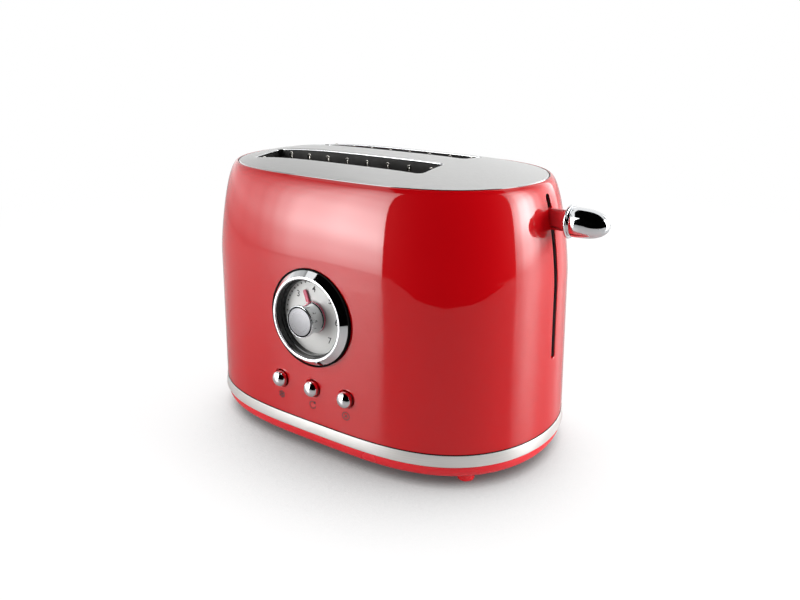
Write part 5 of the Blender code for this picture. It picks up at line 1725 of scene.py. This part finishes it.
def thaw_mark():
    shapes = []
    for number in range(3):
        angle = math.pi / 2 + math.pi * number / 3
        spoke = Vector((math.cos(angle), math.sin(angle)))
        shapes.append(stroke(-spoke * MARK_RADIUS, spoke * MARK_RADIUS))
    for number in range(6):
        angle = math.pi / 2 + math.pi * number / 3
        spoke = Vector((math.cos(angle), math.sin(angle)))
        for turn in (-1, 1):
            lean = angle + turn * math.radians(48)
            branch = Vector((math.cos(lean), math.sin(lean)))
            start = spoke * MARK_RADIUS * 0.52
            shapes.append(stroke(start, start + branch * MARK_RADIUS * 0.42))
    return shapes


def again_mark():
    start = math.radians(60)
    shapes = arc_strokes(MARK_RADIUS * 0.86, start, math.radians(290), 28)
    tip = Vector((math.cos(start), math.sin(start))) * MARK_RADIUS * 0.86
    along = Vector((math.sin(start), -math.cos(start)))
    out = Vector((math.cos(start), math.sin(start)))
    head = MARK_RADIUS * 0.5
    shapes.append([tip + along * head * 1.2, tip + out * head, tip - out * head])
    return shapes


def stop_mark():
    shapes = arc_strokes(MARK_RADIUS * 0.92, 0, math.tau, 36)
    reach = MARK_RADIUS * 0.42
    shapes.append(stroke(Vector((-reach, -reach)), Vector((reach, reach))))
    shapes.append(stroke(Vector((-reach, reach)), Vector((reach, -reach))))
    return shapes


def print_mark(name, shapes):
    centre = button_place(name) - Vector((0, MARK_DROP))
    points = []
    faces = []
    for shape in shapes:
        first = len(points)
        points += [wall_at(centre + point) + PANEL_NORMAL * MARK_LIFT for point in shape]
        faces.append(tuple(range(first, len(points))))
    mesh = bpy.data.meshes.new("mark_" + name)
    mesh.from_pydata([tuple(point) for point in points], [], faces)
    show("mark_" + name, mesh, [BROWN_INK], "housing", ())


for button, shapes in zip(BUTTON_NAMES, (thaw_mark(), again_mark(), stop_mark())):
    print_mark(button, shapes)


# Lever. A flat arm moulded in red comes through the end wall; a chromed flange ring and a bullet
# knob, die-cast and plated, are pressed on its end.
KNOB_FLANGE_RADIUS = 0.0105
KNOB_FLANGE_THICKNESS = 0.0018
KNOB_FLANGE_ROUND = 0.0007
BULLET_NECK_RADIUS = 0.0084
BULLET_NECK_LENGTH = 0.0008
BULLET_RADIUS = 0.0092
BULLET_LENGTH = 0.0232
BULLET_POWER = 3.3
BULLET_RINGS = 28
BULLET_SIDES = 96
ARM_ROUND = 0.0009


def make_lever_arm():
    low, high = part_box("lever_arm")
    outline = rounded([
        (low.x, low.z, 0.0004),
        (high.x, low.z, 0.0004),
        (high.x, high.z, 0.0004),
        (low.x, high.z, 0.0004),
    ])
    matrix = Matrix.Translation((0, (low.y + high.y) / 2, 0)) @ Matrix.Rotation(math.pi / 2, 4, "X")
    half = (high.y - low.y) / 2
    mesh = flat_piece("lever_arm_moulding", outline, -half, half, ARM_ROUND, matrix)
    finish = moulded_red("moulded_red_arm", 0.3)
    arm = show("lever_arm_moulding", mesh, [finish], "carriage", ["lever_arm"])
    even_shading(arm)


def make_lever_knob():
    low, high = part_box("lever_knob")
    neck = KNOB_FLANGE_THICKNESS + BULLET_NECK_LENGTH
    profile = rounded([
        (0, 0, 0),
        (KNOB_FLANGE_RADIUS, 0, KNOB_FLANGE_ROUND),
        (KNOB_FLANGE_RADIUS, KNOB_FLANGE_THICKNESS, KNOB_FLANGE_ROUND),
        (BULLET_NECK_RADIUS, KNOB_FLANGE_THICKNESS, 0.0002),
        (BULLET_NECK_RADIUS, neck, 0.0002),
        (BULLET_RADIUS - 0.0003, neck, 0),
        (BULLET_RADIUS, neck + 0.0004, 0),
    ], closed=False)
    for step in range(BULLET_RINGS):
        angle = math.pi / 2 * (1 - (step + 1) / BULLET_RINGS)
        height = BULLET_LENGTH * math.cos(angle) ** (2 / BULLET_POWER)
        if height > 0.0006:
            profile.append(Vector((BULLET_RADIUS * math.sin(angle), neck + height)))
    matrix = Matrix.Translation((low.x, (low.y + high.y) / 2, (low.z + high.z) / 2))
    matrix = matrix @ Matrix.Rotation(math.pi / 2, 4, "Y")
    points, faces = placed(turned(profile, BULLET_SIDES, closed=False), matrix)
    mesh = new_mesh("lever_knob_cast", points, faces, math.radians(50))
    show("lever_knob_cast", mesh, [CHROME], "carriage", ["lever_knob"])


make_lever_arm()
make_lever_knob()


# Carriage and latch. The carriage slides on a steel rod, drawn up by a coil spring hooked to the
# frame; at the bottom of its travel an iron armature meets the holding magnet.
SPRING_WIRE = 0.0008
SPRING_RADIUS = 0.0040
SPRING_TURNS = 22

dress(ALUMINISED, "carriage")
dress(NICKELLED_WIRE, "guide_rod", "armature")
dress(BLACK_NYLON, "latch_magnet")


def make_spring():
    low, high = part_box("return_spring")
    centre = (low + high) / 2
    top = high.z - SPRING_WIRE / 2
    bottom = low.z + SPRING_WIRE / 2
    path = []
    steps = SPRING_TURNS * 20
    for step in range(steps + 1):
        angle = math.tau * step / 20
        path.append(Vector((
            centre.x + SPRING_RADIUS * math.cos(angle),
            centre.y + SPRING_RADIUS * math.sin(angle),
            top + (bottom - top) * step / steps,
        )))
    points, faces = tube(path, SPRING_WIRE / 2, 8)
    mesh = new_mesh("return_spring_coil", points, faces, math.radians(60))
    obj = bpy.data.objects.new("return_spring_coil", mesh)
    mesh.materials.append(NICKELLED_WIRE)
    bpy.context.scene.collection.objects.link(obj)
    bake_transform(obj)
    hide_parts("return_spring")


make_spring()


# Studio. A white floor and white surroundings. Two tall soft boxes stand left and right of the
# camera, each brightest near its inner edge; between them the studio is unlit, which leaves the
# lacquer deep red there.
WORLD_FILL = 0.20
FLOOR_SIZE = 8
FLOOR_FADE_START = 0.45
FLOOR_FADE_END = 0.95
SHADOW_TILT = Vector((-0.30, 0.44, 0.85)).normalized()
SHADOW_STOPS = (
    (0, 0.02), (0.20, 0.10), (0.35, 0.30), (0.45, 0.58), (0.57, 0.81), (0.65, 0.88), (0.75, 0.97), (0.90, 1.0),
)
STUDIO_MIDDLE = MIDDLE + Vector((0, 0, 0))


def curved_wall(name, radius, start, end, low, high, columns, rows):
    """An upright part of a cylinder about the object. 0 degrees is its front, 90 its lever end."""
    points = []
    for row in range(rows + 1):
        height = low + (high - low) * row / rows
        for column in range(columns + 1):
            angle = math.radians(start + (end - start) * column / columns)
            points.append((radius * math.sin(angle), -radius * math.cos(angle), height))
    faces = []
    for row in range(rows):
        for column in range(columns):
            first = row * (columns + 1) + column
            faces.append((first, first + 1, first + columns + 2, first + columns + 1))
    mesh = bpy.data.meshes.new(name)
    mesh.from_pydata(points, [], faces)
    wall = bpy.data.objects.new(name, mesh)
    wall.location = STUDIO_MIDDLE
    wall.visible_camera = False
    bpy.context.scene.collection.objects.link(wall)
    wall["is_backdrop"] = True
    return wall


def soft_box(name, start, end, across, upward, peak, spill):
    """A glowing cloth wall, shaded across by azimuth in degrees and upward by height.

    Matt surfaces receive the share of its light given as spill.
    """
    wall = curved_wall(name, 1.5, start, end, 0.0, 1.7, 24, 10)
    made = bpy.data.materials.new(name)
    made.use_nodes = True
    tree = made.node_tree
    tree.nodes.remove(tree.nodes["Principled BSDF"])
    place = add(tree, "TexCoord")
    parts = add(tree, "SeparateXYZ", None, {"Vector": (place, "Object")})
    behind = add(tree, "Math", {"operation": "MULTIPLY", 1: -1}, {0: (parts, "Y")})
    turn = add(tree, "Math", {"operation": "ARCTAN2"}, {0: (parts, "X"), 1: (behind, "Value")})
    degrees = add(tree, "Math", {"operation": "DEGREES"}, {0: (turn, "Value")})
    low = min(start, end)
    high = max(start, end)
    sideways = ramp_of(tree, sorted(across), low, high, (degrees, "Value"))
    rising = ramp_of(tree, upward, 0.0, 1.7, (parts, "Z"))
    share = add(tree, "Math", {"operation": "MULTIPLY"}, {0: (sideways, "Color"), 1: (rising, "Color")})
    level = add(tree, "Math", {"operation": "MULTIPLY", 1: peak}, {0: (share, "Value")})
    path = add(tree, "LightPath")
    mirrored = add(tree, "MapRange", {"To Min": spill, "To Max": 1.0}, {"Value": (path, "Is Glossy Ray")})
    strength = add(tree, "Math", {"operation": "MULTIPLY"}, {0: (level, "Value"), 1: (mirrored, "Result")})
    glow = add(tree, "Emission", None, {"Strength": (strength, "Value")})
    tree.links.new(glow.outputs["Emission"], tree.nodes["Material Output"].inputs["Surface"])
    wall.data.materials.append(made)


def black_cloth():
    made, tree, shader = start_finish("black_cloth", {
        "Base Color": (0.001, 0.001, 0.001, 1), "Roughness": 1.0, "Specular IOR Level": 0.0,
    })
    return made


def make_unlit_side():
    """The dark studio between the soft boxes, and the dark beyond the table's front edge."""
    cloth = black_cloth()
    wall = curved_wall("unlit_side", 1.45, -17, 97, 0.0, 5.4, 24, 1)
    wall.data.materials.append(cloth)
    table_edge = (
        (-0.310, -1.300), (-0.100, -1.080), (0.010, -0.860), (0.080, -0.620), (0.150, -0.490),
        (0.210, -0.440), (0.291, -0.398), (0.370, -0.360), (0.440, -0.335), (0.560, -0.315),
        (0.851, -0.290), (1.237, -0.115), (2.2, -2.2),
    )
    mesh = bpy.data.meshes.new("beyond_table")
    mesh.from_pydata([(x, y, 0.003) for x, y in table_edge], [], [tuple(range(len(table_edge)))])
    card = bpy.data.objects.new("beyond_table", mesh)
    mesh.materials.append(cloth)
    bpy.context.scene.collection.objects.link(card)
    card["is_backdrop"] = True
    card.visible_camera = False
    overhead = (
        (-0.40, -1.37), (-0.40, -0.48), (-0.46, 0.06), (-0.30, 0.60), (0.07, 0.54), (0.58, 0.36), (1.48, 0.27), (1.48, -1.37),
    )
    mesh = bpy.data.meshes.new("unlit_canopy")
    mesh.from_pydata([(1.9 * x, 1.9 * y, 1.9) for x, y in overhead], [], [tuple(range(len(overhead)))])
    canopy = bpy.data.objects.new("unlit_canopy", mesh)
    mesh.materials.append(cloth)
    bpy.context.scene.collection.objects.link(canopy)
    canopy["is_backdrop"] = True
    canopy.visible_camera = False
    for piece in (wall, card, canopy):
        piece.visible_diffuse = False
        piece.visible_shadow = False


def make_world():
    world = bpy.data.worlds.new("studio")
    bpy.context.scene.world = world
    world.use_nodes = True
    tree = world.node_tree
    background = tree.nodes["Background"]
    background.inputs["Color"].default_value = (1, 1, 1, 1)
    path = add(tree, "LightPath")
    seen = add(tree, "Math", {"operation": "MAXIMUM"}, {0: (path, "Is Camera Ray"), 1: (path, "Is Glossy Ray")})
    shown = add(tree, "Math", {"operation": "MAXIMUM"}, {0: (seen, "Value"), 1: (path, "Is Transmission Ray")})
    level = add(tree, "MapRange", {"To Min": WORLD_FILL, "To Max": 1.0}, {"Value": (shown, "Value")})
    tree.links.new(level.outputs["Result"], background.inputs["Strength"])


def ramp_of(tree, stops, low, high, source):
    """A grey ramp over a range of a value, from (value, share) stops."""
    share = add(tree, "MapRange", {"From Min": low, "From Max": high}, {"Value": source})
    ramp = add(tree, "ValToRGB", None, {"Fac": (share, "Result")})
    ramp.color_ramp.interpolation = "EASE"
    points = ramp.color_ramp.elements
    while len(points) > 1:
        points.remove(points[-1])
    for number, (value, grey) in enumerate(stops):
        position = (value - low) / (high - low)
        point = points[0] if number == 0 else points.new(position)
        point.position = position
        point.color = (grey, grey, grey, 1)
    return ramp


def make_floor():
    """White laminate: the camera sees it matt and white, with a soft grey shadow painted round the object."""
    mesh = bpy.data.meshes.new("floor")
    size = FLOOR_SIZE
    mesh.from_pydata([(-size, -size, 0), (size, -size, 0), (size, size, 0), (-size, size, 0)], [], [(0, 1, 2, 3)])
    floor = bpy.data.objects.new("floor", mesh)
    made, tree, gloss = start_finish("white_laminate", {"Base Color": (0.66, 0.66, 0.66, 1), "Roughness": 0.22})
    place = add(tree, "NewGeometry")
    moved = add(tree, "VectorMath", {"operation": "SUBTRACT", 1: MIDDLE}, {0: (place, "Position")})
    away = add(tree, "VectorMath", {"operation": "LENGTH"}, {0: (moved, "Vector")})
    # Painted shadow: occlusion, tilted towards the back left, sets how bright the glow seen by the camera is.
    tilt = add(tree, "CombineXYZ", {"X": SHADOW_TILT.x, "Y": SHADOW_TILT.y, "Z": SHADOW_TILT.z})
    shut = add(tree, "AmbientOcclusion", {"samples": 12, "Distance": 0.14}, {"Normal": (tilt, "Vector")})
    soft = ramp_of(tree, SHADOW_STOPS, 0, 1, (shut, "AO"))
    glow = add(tree, "Emission", {"Strength": 1.1}, {"Color": (soft, "Color")})
    matt = add(tree, "BsdfDiffuse", {"Color": (0.9, 0.9, 0.9, 1)})
    near = add(tree, "MixShader", {0: 0.86}, {1: (matt, "BSDF"), 2: (glow, "Emission")})
    white = add(tree, "Emission", {"Strength": 1.0})
    fade = add(tree, "MapRange", {
        "interpolation_type": "SMOOTHSTEP", "From Min": FLOOR_FADE_START, "From Max": FLOOR_FADE_END,
    }, {"Value": (away, "Value")})
    seen = add(tree, "MixShader", None, {0: (fade, "Result"), 1: (near, "Shader"), 2: (white, "Emission")})
    path = add(tree, "LightPath")
    final = add(tree, "MixShader", None, {0: (path, "Is Camera Ray"), 1: (gloss, "BSDF"), 2: (seen, "Shader")})
    tree.links.new(final.outputs["Shader"], tree.nodes["Material Output"].inputs["Surface"])
    mesh.materials.append(made)
    bpy.context.scene.collection.objects.link(floor)
    floor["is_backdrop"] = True


make_world()
make_floor()
make_unlit_side()
soft_box("soft_box_left", -17, -135, (
    (-17, 0.62), (-22, 0.74), (-34, 0.78), (-40, 0.62), (-44, 0.40), (-48, 0.26), (-55, 0.17),
    (-69, 0.12), (-90, 0.085), (-135, 0.08),
), ((0, 0.4), (0.1, 0.6), (0.25, 1.0), (0.4, 0.9), (0.65, 0.66), (0.9, 0.5), (1.35, 0.33), (1.7, 0.15)), 16, 0.68)
soft_box("soft_box_right", 97, 168, (
    (97, 0.30), (102, 0.50), (108, 0.90), (115, 1.0), (122, 0.7), (130, 0.25), (140, 0.11), (150, 0.12), (168, 0.26),
), ((0, 0.3), (0.1, 0.5), (0.35, 1.0), (0.5, 1.0), (0.85, 0.6), (1.2, 0.35), (1.7, 0.1)), 16.5, 1.0)
bpy.context.scene.view_settings.view_transform = "Standard"

low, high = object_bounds()
